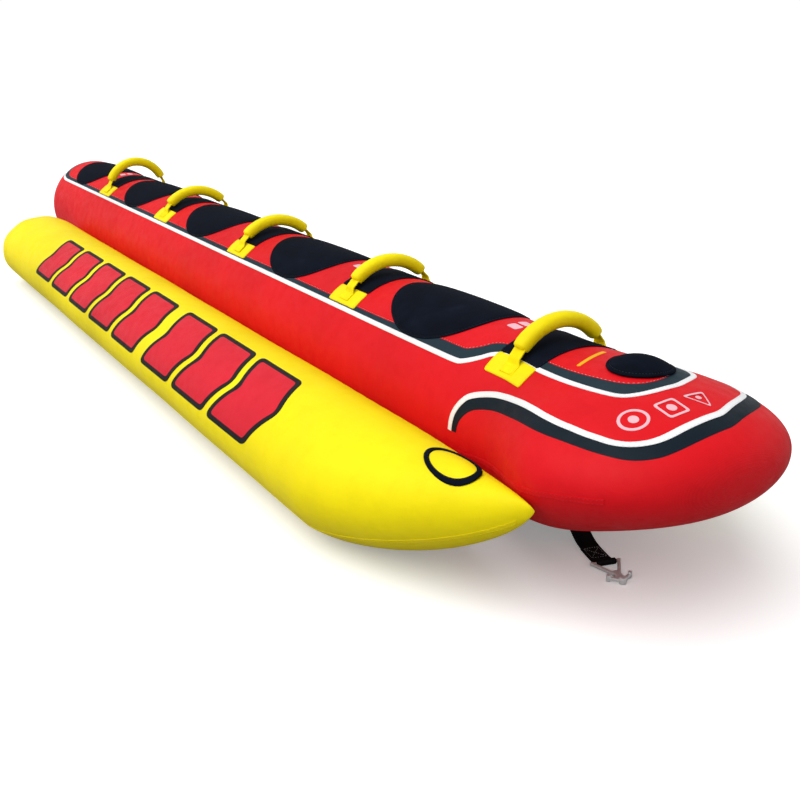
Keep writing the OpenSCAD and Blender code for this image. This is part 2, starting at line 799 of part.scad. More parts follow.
module tow_hook() color([0.80, 0.82, 0.84]) {
    strap_frame()
        translate([strap_loop_reach, 0, strap_loop_z])
            hook_shape();
}
module center_zip_tape() color([0.06, 0.06, 0.07]) {
    translate([zip_x0, -zip_tape_width / 2, zip_tape_top - zip_layer])
        cube([zip_length, zip_tape_width, zip_layer]);
    translate([zip_x0, -zip_chain_width / 2, zip_tape_top - 2 * zip_layer])
        cube([zip_length, zip_chain_width, zip_layer + 0.1]);
}
module center_zip_slider() color([0.80, 0.82, 0.84]) {
    translate([zip_x0 + 4, -zip_slider_size[1] / 2, zip_tape_top - 2 * zip_layer - 0.4 - zip_slider_size[2]])
        cube(zip_slider_size);
}
module tail_drain_eyelet() color([0.80, 0.82, 0.84]) {
    on_tail_underside()
        rotate_extrude()
            polygon([
                [eyelet_bore_radius, -4],
                [eyelet_neck_radius, -4],
                [eyelet_neck_radius, 1.2],
                [eyelet_flange_radius, 1.2],
                [eyelet_flange_radius, 2.4],
                [eyelet_bore_radius, 2.4]]);
}

center_cover();
center_bladder();
starboard_pontoon_cover();
starboard_pontoon_bladder();
starboard_join_web();
starboard_valve_flap();
starboard_valve_flap_binding();
starboard_valve_body();
starboard_valve_membrane();
starboard_valve_cap();
port_pontoon_cover();
port_pontoon_bladder();
port_join_web();
port_valve_flap();
port_valve_flap_binding();
port_valve_body();
port_valve_membrane();
port_valve_cap();
center_valve_flap();
center_valve_body();
center_valve_membrane();
center_valve_cap();
seat_pad_1();
handle_patches_1();
knuckle_guard_1();
handle_webbing_1();
handle_grip_1();
seat_pad_2();
handle_patches_2();
knuckle_guard_2();
handle_webbing_2();
handle_grip_2();
seat_pad_3();
handle_patches_3();
knuckle_guard_3();
handle_webbing_3();
handle_grip_3();
seat_pad_4();
handle_patches_4();
knuckle_guard_4();
handle_webbing_4();
handle_grip_4();
seat_pad_5();
handle_patches_5();
knuckle_guard_5();
handle_webbing_5();
handle_grip_5();
tow_patch();
tow_strap();
tow_hook();
center_zip_tape();
center_zip_slider();
tail_drain_eyelet();
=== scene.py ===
import math

import bmesh
import bpy
import numpy as np
from mathutils import Matrix, Vector, geometry


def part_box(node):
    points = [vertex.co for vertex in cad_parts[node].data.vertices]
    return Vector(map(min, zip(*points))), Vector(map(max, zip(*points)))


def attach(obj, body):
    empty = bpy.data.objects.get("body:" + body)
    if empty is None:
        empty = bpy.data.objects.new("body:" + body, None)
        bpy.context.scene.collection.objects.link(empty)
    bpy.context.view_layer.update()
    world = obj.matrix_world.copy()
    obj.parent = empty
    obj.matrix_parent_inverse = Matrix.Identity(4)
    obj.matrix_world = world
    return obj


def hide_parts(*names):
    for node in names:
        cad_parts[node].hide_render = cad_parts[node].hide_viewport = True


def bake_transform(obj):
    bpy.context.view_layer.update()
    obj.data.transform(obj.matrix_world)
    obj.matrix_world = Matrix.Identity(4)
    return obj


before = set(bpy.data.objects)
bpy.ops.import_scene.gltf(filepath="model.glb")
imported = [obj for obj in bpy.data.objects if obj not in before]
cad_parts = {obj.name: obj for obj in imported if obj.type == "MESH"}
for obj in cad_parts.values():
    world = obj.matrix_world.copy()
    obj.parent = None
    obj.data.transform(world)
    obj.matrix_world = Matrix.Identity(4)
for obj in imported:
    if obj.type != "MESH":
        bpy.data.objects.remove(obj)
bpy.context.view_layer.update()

scene = bpy.context.scene
TAU = 2 * math.pi
MM = 0.001
SIDES = (("starboard", False), ("port", True))  # and whether the side's pieces are mirrored


def add_object(name, data):
    ob = bpy.data.objects.new(name, data)
    scene.collection.objects.link(ob)
    return ob


# ---------------------------------------------------------------- camera

CAMERA_PLACE = (3.349, -1.495, 1.181)
CAMERA_RIGHT = Vector((0.5345, 0.8452, 0.0)).normalized()
CAMERA_PITCH = math.radians(20.81)
SENSOR_WIDTH = 36
FOCAL_SHARE = 1.25  # focal length over the picture's width


def make_camera():
    data = bpy.data.cameras.new("camera")
    data.sensor_width = SENSOR_WIDTH
    data.lens = SENSOR_WIDTH * FOCAL_SHARE
    data.clip_start, data.clip_end = 0.05, 200
    camera = add_object("camera", data)
    up = Vector((0, 0, 1))
    look = (up.cross(CAMERA_RIGHT) * math.cos(CAMERA_PITCH) - up * math.sin(CAMERA_PITCH)).normalized()
    turn = Matrix((CAMERA_RIGHT, CAMERA_RIGHT.cross(look), -look)).transposed()
    camera.matrix_world = Matrix.Translation(CAMERA_PLACE) @ turn.to_4x4()
    scene.camera = camera

# ---------------------------------------------------------------- materials


class Nodes:
    """A short way to write a node material."""

    def __init__(self, name):
        self.material = bpy.data.materials.new(name)
        self.material.use_nodes = True
        self.tree = self.material.node_tree
        self.place = self.add("ShaderNodeTexCoord").outputs["Object"]

    def feed(self, socket, value):
        """Links an output to a socket, or sets the socket to a plain value."""
        if isinstance(value, bpy.types.NodeSocket):
            self.tree.links.new(value, socket)
        else:
            socket.default_value = value

    def add(self, kind, **values):
        """A node with its settings first and its sockets after them. A socket's name has _ for a space."""
        node = self.tree.nodes.new(kind)
        for key, value in values.items():
            if hasattr(node, key):
                setattr(node, key, value)
            else:
                self.feed(node.inputs[key.replace("_", " ")], value)
        return node

    def done(self, **sockets):
        """Feeds the shader and gives the finished material."""
        for key, value in sockets.items():
            self.feed(self.tree.nodes["Principled BSDF"].inputs[key.replace("_", " ")], value)
        return self.material

    def weave(self):
        return self.add("ShaderNodeUVMap", uv_map="Weave").outputs["UV"]

    def stripes(self, axis, pitch, distortion=0.0):
        """Bands across one axis of the Weave map, that many metres apart."""
        return self.add("ShaderNodeTexWave", wave_type="BANDS", bands_direction=axis, Vector=self.weave(),
                        Scale=TAU / 20 / pitch, Distortion=distortion).outputs["Fac"]

    def noise(self, source, scale, detail=3.0, roughness=0.55):
        return self.add("ShaderNodeTexNoise", Vector=source, Scale=scale, Detail=detail,
                        Roughness=roughness).outputs["Fac"]

    def multiply(self, a, b):
        node = self.add("ShaderNodeMath", operation="MULTIPLY")
        self.feed(node.inputs[0], a)
        self.feed(node.inputs[1], b)
        return node.outputs[0]

    def mix(self, blend, factor, a, b):
        return self.add("ShaderNodeMix", data_type="RGBA", blend_type=blend, Factor=factor, A=a,
                        B=b).outputs["Result"]

    def ramp(self, source, *stops):
        """A colour ramp of (place, colour) stops, where a plain number stands for a grey."""
        node = self.add("ShaderNodeValToRGB", Fac=source)
        band = node.color_ramp
        while len(band.elements) < len(stops):
            band.elements.new(0.5)
        for element, (place, colour) in zip(band.elements, stops):
            element.position = place
            element.color = (*(colour if isinstance(colour, tuple) else (colour,) * 3), 1)
        return node.outputs[0]

    def bump(self, height, strength, distance, below=None):
        node = self.add("ShaderNodeBump", Strength=strength, Distance=distance, Height=height)
        if below is not None:
            self.feed(node.inputs["Normal"], below)
        return node.outputs["Normal"]


def tint(colour, factor):
    return tuple(min(1.0, c * factor) for c in colour)


def cloth(name, colour, thread=0.0012, rough=0.50, crease=0.5, soil=0.12):
    """Coated woven nylon: threads, slow colour drift, faint creases, and scuffs that dull it."""
    n = Nodes(name)
    threads = n.multiply(n.stripes("X", 2 * thread), n.stripes("Y", 2 * thread))
    drift = n.noise(n.place, 3.1, 4.0)
    patch = n.noise(n.place, 26.0, 5.0, 0.62)
    base = n.ramp(drift, (0.30, tint(colour, 0.90)), (0.52, colour), (0.74, tint(colour, 1.06)))
    grime = n.ramp(patch, (0.50, 0), (0.82, soil * 2))
    worn = n.mix("MIX", grime, base, (*tint(colour, 0.72), 1))
    stretch = n.add("ShaderNodeMapping", Vector=n.place, Scale=(0.45, 1.6, 1.6)).outputs["Vector"]
    soft = n.bump(n.noise(stretch, 9.0, 3.0, 0.5), 0.35 * crease, 0.012)
    mid = n.bump(n.noise(n.place, 95.0, 3.0, 0.6), 0.30, 0.0006, soft)
    return n.done(
        Base_Color=n.mix("MULTIPLY", 0.30, worn, n.ramp(threads, (0.0, 0.78), (0.6, 1))),
        Roughness=n.ramp(patch, (0.3, rough - 0.06), (0.75, rough + 0.12)),
        Normal=n.bump(threads, 0.45, 0.00025, mid), Specular_IOR_Level=0.14)


def neoprene(name, colour=(0.0028, 0.0042, 0.0085), rough=0.78):
    """Knit-faced neoprene: small loops over soft foam, a little paler where it has been sat on."""
    n = Nodes(name)
    loops = n.add("ShaderNodeTexVoronoi", feature="F1", Vector=n.weave(), Scale=520.0).outputs["Distance"]
    worn = n.noise(n.place, 14.0, 5.0, 0.6)
    soft = n.bump(n.noise(n.place, 30.0, 3.0, 0.5), 0.4, 0.002)
    return n.done(
        Base_Color=n.ramp(worn, (0.35, colour), (0.62, tint(colour, 1.7)), (0.85, tint(colour, 3.2))),
        Roughness=n.ramp(worn, (0.3, rough - 0.08), (0.8, rough + 0.12)),
        Normal=n.bump(loops, 0.5, 0.0004, soft), Specular_IOR_Level=0.03)


def webbing(name, colour, rough=0.62, depth=0.55):
    """Heavy webbing: ribs across it, strands along it, and rubbed spots."""
    n = Nodes(name)
    both = n.multiply(n.stripes("X", 0.0024, 0.4), n.stripes("Y", 0.0042, 0.6))
    worn = n.noise(n.place, 40.0, 5.0, 0.65)
    base = n.ramp(worn, (0.3, tint(colour, 1 - 0.45 * depth)), (0.55, colour), (0.8, tint(colour, 1 + 0.9 * depth)))
    return n.done(
        Base_Color=n.mix("MULTIPLY", depth, base, n.ramp(both, (0.0, 0.45), (0.55, 1))),
        Roughness=n.ramp(worn, (0.3, rough - 0.06), (0.8, rough + 0.15)),
        Normal=n.bump(both, 0.8, 0.0007), Specular_IOR_Level=0.12)


def moulded(name, colour, rough=0.45, grain=260.0, metallic=0.0, scuff=1.35):
    """Moulded plastic, rubber, thread or cast metal: fine grain, drift in tone and rubbed spots."""
    n = Nodes(name)
    drift = n.noise(n.place, 35.0, 5.0, 0.6)
    grains = n.noise(n.place, grain, 4.0, 0.65)
    return n.done(
        Base_Color=n.ramp(drift, (0.30, tint(colour, 0.82)), (0.55, colour), (0.80, tint(colour, scuff))),
        Roughness=n.ramp(grains, (0.3, max(0.05, rough - 0.10)), (0.75, rough + 0.12)),
        Normal=n.bump(grains, 0.4, 0.0004, n.bump(drift, 0.2, 0.001)), Metallic=metallic)


def floor_material():
    """White to the camera, and grey in the light that it throws back on the object."""
    n = Nodes("studio_floor")
    drift = n.noise(n.place, 1.2, 3.0)
    seen = n.add("ShaderNodeLightPath").outputs["Is Camera Ray"]
    grey, white = n.ramp(drift, (0.3, 0.32), (0.7, 0.34)), n.ramp(drift, (0.3, 0.93), (0.7, 0.95))
    return n.done(
        Base_Color=n.mix("MIX", seen, grey, white), Roughness=0.9, Specular_IOR_Level=0.1,
        Emission_Color=(1, 1, 1, 1), Emission_Strength=n.multiply(seen, 0.24))


RED = (0.72, 0.004, 0.010)
YELLOW = (0.97, 0.80, 0.001)
red_nylon = cloth("red_nylon", RED)
yellow_nylon = cloth("yellow_nylon", YELLOW)
slate_nylon = cloth("slate_nylon", (0.010, 0.028, 0.042), rough=0.5)
dark_nylon = cloth("dark_nylon", (0.002, 0.009, 0.017), rough=0.5)
white_nylon = cloth("white_nylon", (0.90, 0.90, 0.91), soil=0.05)
print_red = cloth("print_red", (0.70, 0.012, 0.030), rough=0.42)
print_black = cloth("print_black", (0.006, 0.007, 0.009), rough=0.48)
print_pink = cloth("print_pink", (0.86, 0.50, 0.56), rough=0.45, soil=0.04)
print_amber = cloth("print_amber", (0.95, 0.45, 0.01))
grip_nylon = cloth("grip_nylon", YELLOW, thread=0.0015, rough=0.5, crease=1.3)
black_neoprene = neoprene("black_neoprene")
black_webbing = webbing("black_webbing", (0.006, 0.006, 0.007))
yellow_webbing = webbing("yellow_webbing", YELLOW, depth=0.16)
pvc_skin = moulded("pvc_skin", (0.020, 0.020, 0.024), rough=0.30, grain=180)
valve_plastic = moulded("valve_plastic", (0.09, 0.095, 0.10), rough=0.42)
valve_rubber = moulded("valve_rubber", (0.012, 0.012, 0.012), rough=0.7)
cast_metal = moulded("cast_metal", (0.88, 0.89, 0.90), rough=0.36, grain=420, metallic=0.30, scuff=1.10)
thread_pale = moulded("thread_pale", (0.72, 0.72, 0.72), rough=0.6, grain=900)
thread_dark = moulded("thread_dark", (0.02, 0.02, 0.022), rough=0.6, grain=900)
thread_yellow = moulded("thread_yellow", (0.86, 0.66, 0.01), rough=0.6, grain=900)
thread_red = moulded("thread_red", (0.48, 0.008, 0.016), rough=0.6, grain=900)


# ---------------------------------------------------------------- the skins' shapes


def ease(a, b, x):
    t = np.clip((np.asarray(x, float) - a) / (b - a), 0, 1)
    return t * t * (3 - 2 * t)


def rounding(k, power):
    """Share of the full section left at a share k of the way along a rounded end."""
    return np.maximum(0, 1 - (1 - np.clip(k, 0, 1)) ** power) ** (1 / power)


class Skin:
    """An inflated skin: section(x) gives its centre y, centre z, half width and half height."""

    def base(self, x, a):
        yc, zc, w, h = self.section(x)
        return np.stack([x + 0 * a, yc + w * np.sin(a), zc + h * np.cos(a)], -1)

    def normal(self, x, a):
        step = 2e-5
        lo = np.clip(x - step, self.x0 + 1e-7, self.x1 - 1e-7)
        hi = np.clip(x + step, self.x0 + 1e-7, self.x1 - 1e-7)
        along = self.base(hi, a) - self.base(lo, a)
        around = self.base(x, a + 1e-4) - self.base(x, a - 1e-4)
        n = np.cross(along, around)
        return n / np.maximum(1e-12, np.linalg.norm(n, axis=-1, keepdims=True))

    def point(self, x, degrees, lift=0.0):
        """The skin at x and at an angle from the crown towards port, moved out by lift."""
        x, a = np.broadcast_arrays(np.asarray(x, float), np.radians(np.asarray(degrees, float)))
        out = self.normal(x, a)
        return self.base(x, a) + out * (lift + self.ripple(x, a))[..., None]

    def girth(self, x, degrees):
        """Metres of skin per radian round the section."""
        _, _, w, h = self.section(np.asarray(x, float))
        a = np.radians(degrees)
        return np.sqrt((w * np.cos(a)) ** 2 + (h * np.sin(a)) ** 2)


class Tube(Skin):
    x0, x1 = -2.230, 2.230
    radius, axis_z = 0.225, 0.265
    deck_z, keel_z = 0.490, 0.040
    nose_half, nose_deck_z, nose_keel_z = 0.319, 0.479, 0.207
    tail_length, tail_power = 0.240, 2.2
    nose_length, nose_power = 0.362, 2.556

    def section(self, x):
        nose = rounding((self.x1 - x) / self.nose_length, self.nose_power)
        tail = rounding((x - self.x0) / self.tail_length, self.tail_power)
        w = self.radius + (self.nose_half - self.radius) * ease(1.650, 1.980, x)
        top = self.deck_z + (self.nose_deck_z - self.deck_z) * ease(1.440, 2.230, x)
        bottom = self.keel_z + (self.nose_keel_z - self.keel_z) * ease(1.609, 2.230, x)
        full = nose * tail
        return 0 * x, (top + bottom) / 2, w * full, (top - bottom) / 2 * full

    def seam(self, x):
        """Angle of the seam between the side panels and the bottom panel."""
        return np.radians(108 - 14 * ease(1.30, 1.85, x))

    def ripple(self, x, a):
        low = (np.abs(a) - self.seam(x)) * self.radius
        high = (np.abs(a) - math.radians(47.5)) * self.radius
        wave = np.sin(TAU * x / 0.056 + 1.4 * np.sin(8.3 * x))
        slow = 0.0006 * np.sin(5.3 * x + 2 * a) + 0.0005 * np.sin(11.7 * x - 3 * a + 1)
        ends = 1 - ease(2.10, 2.22, np.abs(x))
        puckers = 0.0008 * wave * np.exp(-((low / 0.04) ** 2)) + 0.0004 * wave * np.exp(-((high / 0.03) ** 2))
        return (slow + puckers) * ends


class Pontoon(Skin):
    """The starboard pontoon. The port one is its mirror."""
    x0, x1 = -1.733, 1.989
    half_width, half_height, axis_z = 0.188, 0.154, 0.15341
    tip_z = 0.268
    tail_length, tail_power = 0.162, 2.046
    nose_length, nose_power = 0.549, 1.47
    floor = 0.0004

    def section(self, x):
        tail = rounding((x - self.x0) / self.tail_length, self.tail_power)
        nose = rounding((self.x1 - x) / self.nose_length, self.nose_power)
        yc = -(0.318 + 0.082 * nose ** 0.95)
        zc = self.tip_z + (self.axis_z - self.tip_z) * nose ** 1.32
        return yc, zc, self.half_width * tail * nose ** 1.32, self.half_height * tail * nose ** 0.9

    def ripple(self, x, a):
        slow = 0.0006 * np.sin(4.7 * x + 2 * a + 1) + 0.0005 * np.sin(10.1 * x - 3 * a)
        inboard = np.exp(-(((a - math.radians(62)) * 0.17 / 0.05) ** 2))
        rear = np.exp(-(((x + 1.62) / 0.11) ** 2))
        wave = np.sin(TAU * x / 0.061 + 1.2 * np.sin(7.1 * x))
        folds = 0.0011 * wave * inboard + 0.0012 * rear * np.sin(9 * a + 20 * x)
        ends = (1 - ease(1.80, 1.95, x)) * ease(-1.731, -1.69, x)
        return (slow + folds) * ends

    def point(self, x, degrees, lift=0.0):
        p = super().point(x, degrees, lift)
        p[..., 2] = np.maximum(p[..., 2], self.floor)
        return p


tube, pontoon = Tube(), Pontoon()


def skin_stations(skin, step):
    """Stations along a skin: on each rounded end they follow its own curve, and between the ends they are even."""
    at_tip, at_full = 88.6, 4.0  # degrees along the rounded end

    def end(count, power):
        return 1 - np.sin(np.radians(np.linspace(at_tip, at_full, count))) ** (2 / power)

    tail = skin.x0 + skin.tail_length * end(40, skin.tail_power)
    nose = (skin.x1 - skin.nose_length * end(52, skin.nose_power))[::-1]
    start, stop = tail[-1], nose[0]
    count = int((stop - start) / step)
    return np.concatenate([tail, np.linspace(start, stop, count + 2)[1:-1], nose])


# ---------------------------------------------------------------- making pieces


def piece(name, verts, faces, material, uv=None, flip=False, sharp=35, smooth=True):
    """A mesh object from points in the row frame. flip mirrors it to the other side."""
    verts = np.array(verts, float).reshape(-1, 3)
    if flip:
        verts[:, 1] *= -1
        faces = [tuple(reversed(f)) for f in faces]
    mesh = bpy.data.meshes.new(name)
    mesh.from_pydata(verts.tolist(), [], [tuple(int(i) for i in f) for f in faces])
    mesh.validate()
    mesh.update()
    mesh.polygons.foreach_set("use_smooth", [smooth] * len(mesh.polygons))
    if smooth and sharp:
        mesh.set_sharp_from_angle(angle=math.radians(sharp))
    uv = verts[:, :2] if uv is None else np.array(uv, float).reshape(-1, 2)
    layer = mesh.uv_layers.new(name="Weave")
    index = np.zeros(len(mesh.loops), int)
    mesh.loops.foreach_get("vertex_index", index)
    layer.data.foreach_set("uv", uv[index].astype(np.float32).ravel())
    mesh.materials.append(material)
    return add_object(name, mesh)


def built(name, bm, material):
    """The object of a finished bmesh."""
    mesh = bpy.data.meshes.new(name)
    bm.to_mesh(mesh)
    bm.free()
    mesh.materials.append(material)
    return add_object(name, mesh)


def block(bm, size, centre):
    """Adds a box to a bmesh."""
    verts = bmesh.ops.create_cube(bm, size=1.0)["verts"]
    bmesh.ops.scale(bm, vec=size, verts=verts)
    bmesh.ops.translate(bm, vec=centre, verts=verts)
    return verts


def fix_winding(ob):
    """Turns a closed mesh's faces to look outwards."""
    bm = bmesh.new()
    bm.from_mesh(ob.data)
    bmesh.ops.recalc_face_normals(bm, faces=bm.faces)
    bm.to_mesh(ob.data)
    bm.free()
    ob.data.update()


def on(ob, body, stands_for=()):
    """Rides a finished piece on its body, and hides the CAD parts that it stands for."""
    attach(ob, body)
    if stands_for:
        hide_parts(*([stands_for] if isinstance(stands_for, str) else stands_for))
    return ob


def grid_faces(n, m, offset=0, wrap=False):
    """Faces between n rows of m points. wrap joins each row's last point to its first."""
    faces = []
    for i in range(n - 1):
        for j in range(m if wrap else m - 1):
            a, b, k = offset + i * m, offset + (i + 1) * m, (j + 1) % m
            faces.append((a + j, b + j, b + k, a + k))
    return faces


def backwards(faces):
    return [tuple(reversed(f)) for f in faces]


def sheet_faces(n, m):
    """Faces of a closed sheet: n by m points on its top, then as many on its underside."""
    k, last = n * m, (n - 1) * m
    faces = grid_faces(n, m) + backwards(grid_faces(n, m, k))
    rows = [(i * m, (i + 1) * m) for i in range(n - 1)]
    faces += [(a, k + a, k + b, b) for a, b in rows]
    faces += [(b + m - 1, k + b + m - 1, k + a + m - 1, a + m - 1) for a, b in rows]
    faces += [(j + 1, k + j + 1, k + j, j) for j in range(m - 1)]
    faces += [(last + j, k + last + j, k + last + j + 1, last + j + 1) for j in range(m - 1)]
    return faces


def closed_skin(skin, step, around):
    """A whole inflated skin, closed at both tips: its points, faces and Weave map."""
    xs = skin_stations(skin, step)
    angles = np.linspace(-180, 180, around, endpoint=False)
    rings = skin.point(xs[:, None], angles[None, :])
    n, m = rings.shape[:2]
    verts = np.concatenate([rings.reshape(-1, 3), [rings[0].mean(0), rings[-1].mean(0)]])
    last = (n - 1) * m
    faces = grid_faces(n, m, 0, True)
    faces += [(n * m, j, (j + 1) % m) for j in range(m)]
    faces += [(n * m + 1, last + (j + 1) % m, last + j) for j in range(m)]
    arc = np.radians(angles)[None, :] * skin.girth(np.zeros(1), 45.0) + 0 * xs[:, None]
    uv = np.stack([xs[:, None] + 0 * arc, arc], -1).reshape(-1, 2)
    return verts, faces, np.concatenate([uv, [[xs[0], 0], [xs[-1], 0]]])


def facing(place, normal):
    """The frame at a place, with its z axis along the normal."""
    turn = Vector(normal).normalized().to_track_quat("Z", "Y").to_matrix()
    return Matrix.Translation(place) @ turn.to_4x4()


def cut_round_pocket(ob, place, normal, radius, depth, floor_stuff):
    """Cuts the cover's valve hole, down to the bladder that shows at its bottom."""
    count = 64
    verts = [(radius * math.cos(q), radius * math.sin(q), level)
             for level in (-depth, 0.02) for q in TAU * np.arange(count) / count]
    faces = [tuple(reversed(range(count))), tuple(range(count, 2 * count))]
    faces += [(i, (i + 1) % count, count + (i + 1) % count, count + i) for i in range(count)]
    mesh = bpy.data.meshes.new("pocket_cutter")
    mesh.from_pydata(verts, [], faces)
    mesh.materials.append(floor_stuff)
    cutter = add_object("pocket_cutter", mesh)
    cutter.matrix_world = facing(place, normal)
    cut = ob.modifiers.new("pocket", "BOOLEAN")
    cut.operation, cut.object, cut.solver = "DIFFERENCE", cutter, "EXACT"
    cut.material_mode = "TRANSFER"
    apply_modifiers(ob)
    bpy.data.objects.remove(cutter)
    bpy.data.meshes.remove(mesh)


def apply_modifiers(ob):
    graph = bpy.context.evaluated_depsgraph_get()
    graph.update()
    made = bpy.data.meshes.new_from_object(ob.evaluated_get(graph), preserve_all_data_layers=True, depsgraph=graph)
    old, name = ob.data, ob.data.name
    ob.modifiers.clear()
    ob.data = made
    bpy.data.meshes.remove(old)
    made.name = name


def run_along(points):
    """Distance along a line to each of its points."""
    return np.concatenate([[0], np.cumsum(np.linalg.norm(np.diff(points, axis=0), axis=1))])


def resample(at, run, points):
    return np.stack([np.interp(at, run, points[:, k]) for k in range(points.shape[1])], 1)


def curve_through(points, steps):
    """A Catmull-Rom curve in every column, with that many steps to each gap between points."""
    p = np.array(points, float)
    ext = np.vstack([2 * p[0] - p[1], p, 2 * p[-1] - p[-2]])
    fine = [0.5 * (2 * b + (c - a) * t + (2 * a - 5 * b + 4 * c - d) * t * t + (3 * b - a - 3 * c + d) * t ** 3)
            for a, b, c, d in zip(ext, ext[1:], ext[2:], ext[3:])
            for t in np.linspace(0, 1, steps, endpoint=False)]
    return np.array(fine + [p[-1]])


def spline(points, count):
    """A smooth even line through 2D points."""
    fine = curve_through(points, 30)
    run = run_along(fine)
    return resample(np.linspace(0, run[-1], count), run, fine)


def smooth_rows(rows, per_metre):
    """Even steps along a smooth line through rows that start with x and an angle in degrees."""
    fine = curve_through(rows, 40)
    run = run_along(fine[:, :2] * np.array([1, math.radians(0.24)]))
    return resample(np.linspace(0, run[-1], max(8, int(run[-1] * per_metre))), run, fine)


def whole_line(rows, port, last):
    """A half line to the centre plane, its own port end, and its mirror from x = last back to the tail."""
    other = [tuple(v if k % 2 == 0 else -v for k, v in enumerate(r)) for r in rows[::-1] if r[0] <= last]
    return rows + port + other


def unit(rows):
    return rows / np.maximum(1e-9, np.linalg.norm(rows, axis=1, keepdims=True))


def strip_on(name, skin, left, right, low, high, material, across=6, flip=False):
    """A closed thin strip on a skin between two lines of the same count of (x, angle) points."""
    t = np.concatenate([[0, 0.02], np.linspace(0.08, 0.92, across), [0.98, 1]])
    lift = np.where((t == 0) | (t == 1), low + 0.3 * (high - low), high)
    x, a = (left[:, k:k + 1] * (1 - t) + right[:, k:k + 1] * t for k in (0, 1))
    top = skin.point(x, a, lift[None, :] + 0 * x)
    bottom = skin.point(x, a, low + 0 * x)
    n, m = top.shape[:2]
    faces = sheet_faces(n, m)
    # the faces above look outwards when the strip's second line lies to port of its first
    i, j = n // 2, m // 2
    span = np.cross(top[i + 1, j] - top[i, j], top[i, j + 1] - top[i, j])
    if np.dot(span, skin.normal(np.array(x[i, j]), np.radians(np.array(a[i, j])))) < 0:
        faces = backwards(faces)
    uv = np.stack([x, np.radians(a) * tube.radius], -1).reshape(-1, 2)
    verts = np.concatenate([top.reshape(-1, 3), bottom.reshape(-1, 3)])
    return piece(name, verts, faces, material, np.concatenate([uv, uv]), flip)


def beside(skin, line, offset):
    """A line of (x, angle) points moved sideways on the skin by offset metres."""
    girth = np.radians(1) * skin.girth(line[:, 0], line[:, 1])
    step = np.gradient(line, axis=0)
    flat = unit(np.stack([step[:, 0], step[:, 1] * girth], 1))
    return np.stack([line[:, 0] - flat[:, 1] * offset, line[:, 1] + flat[:, 0] * offset / girth], 1)


def ribbon(name, skin, line, width, low, high, material, flip=False):
    return strip_on(name, skin, beside(skin, line, -width / 2), beside(skin, line, width / 2), low, high,
                    material, 3, flip)


def panel_rings(place, outline, centre, section):
    """Rings of points round a panel, one to each (share of the outline, lift), and the same rings laid flat."""
    c = np.array(centre, float)
    flats = [c + (outline - c) * share for share, _ in section]
    return [place(flat[:, 0], flat[:, 1], np.full(len(flat), lift))
            for flat, (_, lift) in zip(flats, section)], flats


def fan_panel(name, place, outline, centre, section, material, flip=False, sharp=35):
    """A closed panel over a convex outline. section lists (share of the outline, lift), from the middle of its
    top out over its edge and back to the middle of its underside."""
    n, m = len(outline), len(section) - 2
    rings, uvs = panel_rings(place, outline, centre, section[1:-1])
    c = np.array([centre], float)
    first, last = (place(c[:, 0], c[:, 1], np.array([lift])) for _, lift in (section[0], section[-1]))
    faces = [(0, 1 + j, 1 + (j + 1) % n) for j in range(n)]
    faces += grid_faces(m, n, 1, True)
    faces += [(1 + (m - 1) * n + j, 1 + m * n, 1 + (m - 1) * n + (j + 1) % n) for j in range(n)]
    return piece(name, np.concatenate([first, *rings, last]), faces, material, np.concatenate([c, *uvs, c]), flip,
                 sharp)


def band_panel(name, place, outline, centre, section, material, flip=False):
    """A ring over an outline, with its section as a closed loop of (share, lift)."""
    n, m = len(outline), len(section)
    rings, uvs = panel_rings(place, outline, centre, section)
    last = (m - 1) * n
    faces = grid_faces(m, n, 0, True) + [(last + j, j, (j + 1) % n, last + (j + 1) % n) for j in range(n)]
    return piece(name, np.concatenate(rings), faces, material, np.concatenate(uvs), flip, 50)


def in_metres(section):
    """A section of (share, millimetres) in metres."""
    return [(share, lift * MM) for share, lift in section]


def rectangle(x0, x1, y0, y1):
    return [(x0, y0), (x1, y0), (x1, y1), (x0, y1)]


def crossed_box(corners):
    """The sides and diagonals of a sewn box."""
    return list(zip(corners, corners[1:] + corners[:1])) + [(corners[0], corners[2]), (corners[1], corners[3])]


def rounded(points, radius, steps=6):
    """A closed outline with its corners rounded."""
    p = [np.array(q, float) for q in points]
    out = []
    for i, b in enumerate(p):
        a, c = p[i - 1], p[(i + 1) % len(p)]
        r = min(radius, 0.45 * np.linalg.norm(a - b), 0.45 * np.linalg.norm(c - b))
        start = b + (a - b) / np.linalg.norm(a - b) * r
        end = b + (c - b) / np.linalg.norm(c - b) * r
        for t in np.linspace(0, 1, steps + 1):
            out.append((1 - t) ** 2 * start + 2 * t * (1 - t) * b + t * t * end)
    return np.array(out)


def even(outline, step):
    """The same closed outline with points an even step apart."""
    p = np.vstack([outline, outline[:1]])
    run = run_along(p)
    return resample(np.linspace(0, run[-1], max(12, int(run[-1] / step)), endpoint=False), run, p)


def grown(points, offset):
    """A closed outline, counter-clockwise, with every side moved out by offset."""
    p = np.array(points, float)
    out = []
    for i in range(len(p)):
        a, b, c = p[i - 1], p[i], p[(i + 1) % len(p)]
        u, v = (b - a) / np.linalg.norm(b - a), (c - b) / np.linalg.norm(c - b)
        nu, nv = np.array([u[1], -u[0]]), np.array([v[1], -v[0]])
        mitre = nu + nv
        out.append(b + mitre * offset / max(0.35, np.dot(mitre, nu)))
    return np.array(out)


def inside(points, outline):
    x, y = points[:, 0], points[:, 1]
    hit = np.zeros(len(points), bool)
    for (x0, y0), (x1, y1) in zip(outline, np.roll(outline, -1, axis=0)):
        cross = (y0 > y) != (y1 > y)
        with np.errstate(divide="ignore", invalid="ignore"):
            at = (x1 - x0) * (y - y0) / (y1 - y0) + x0
        hit ^= cross & (x < at)
    return hit


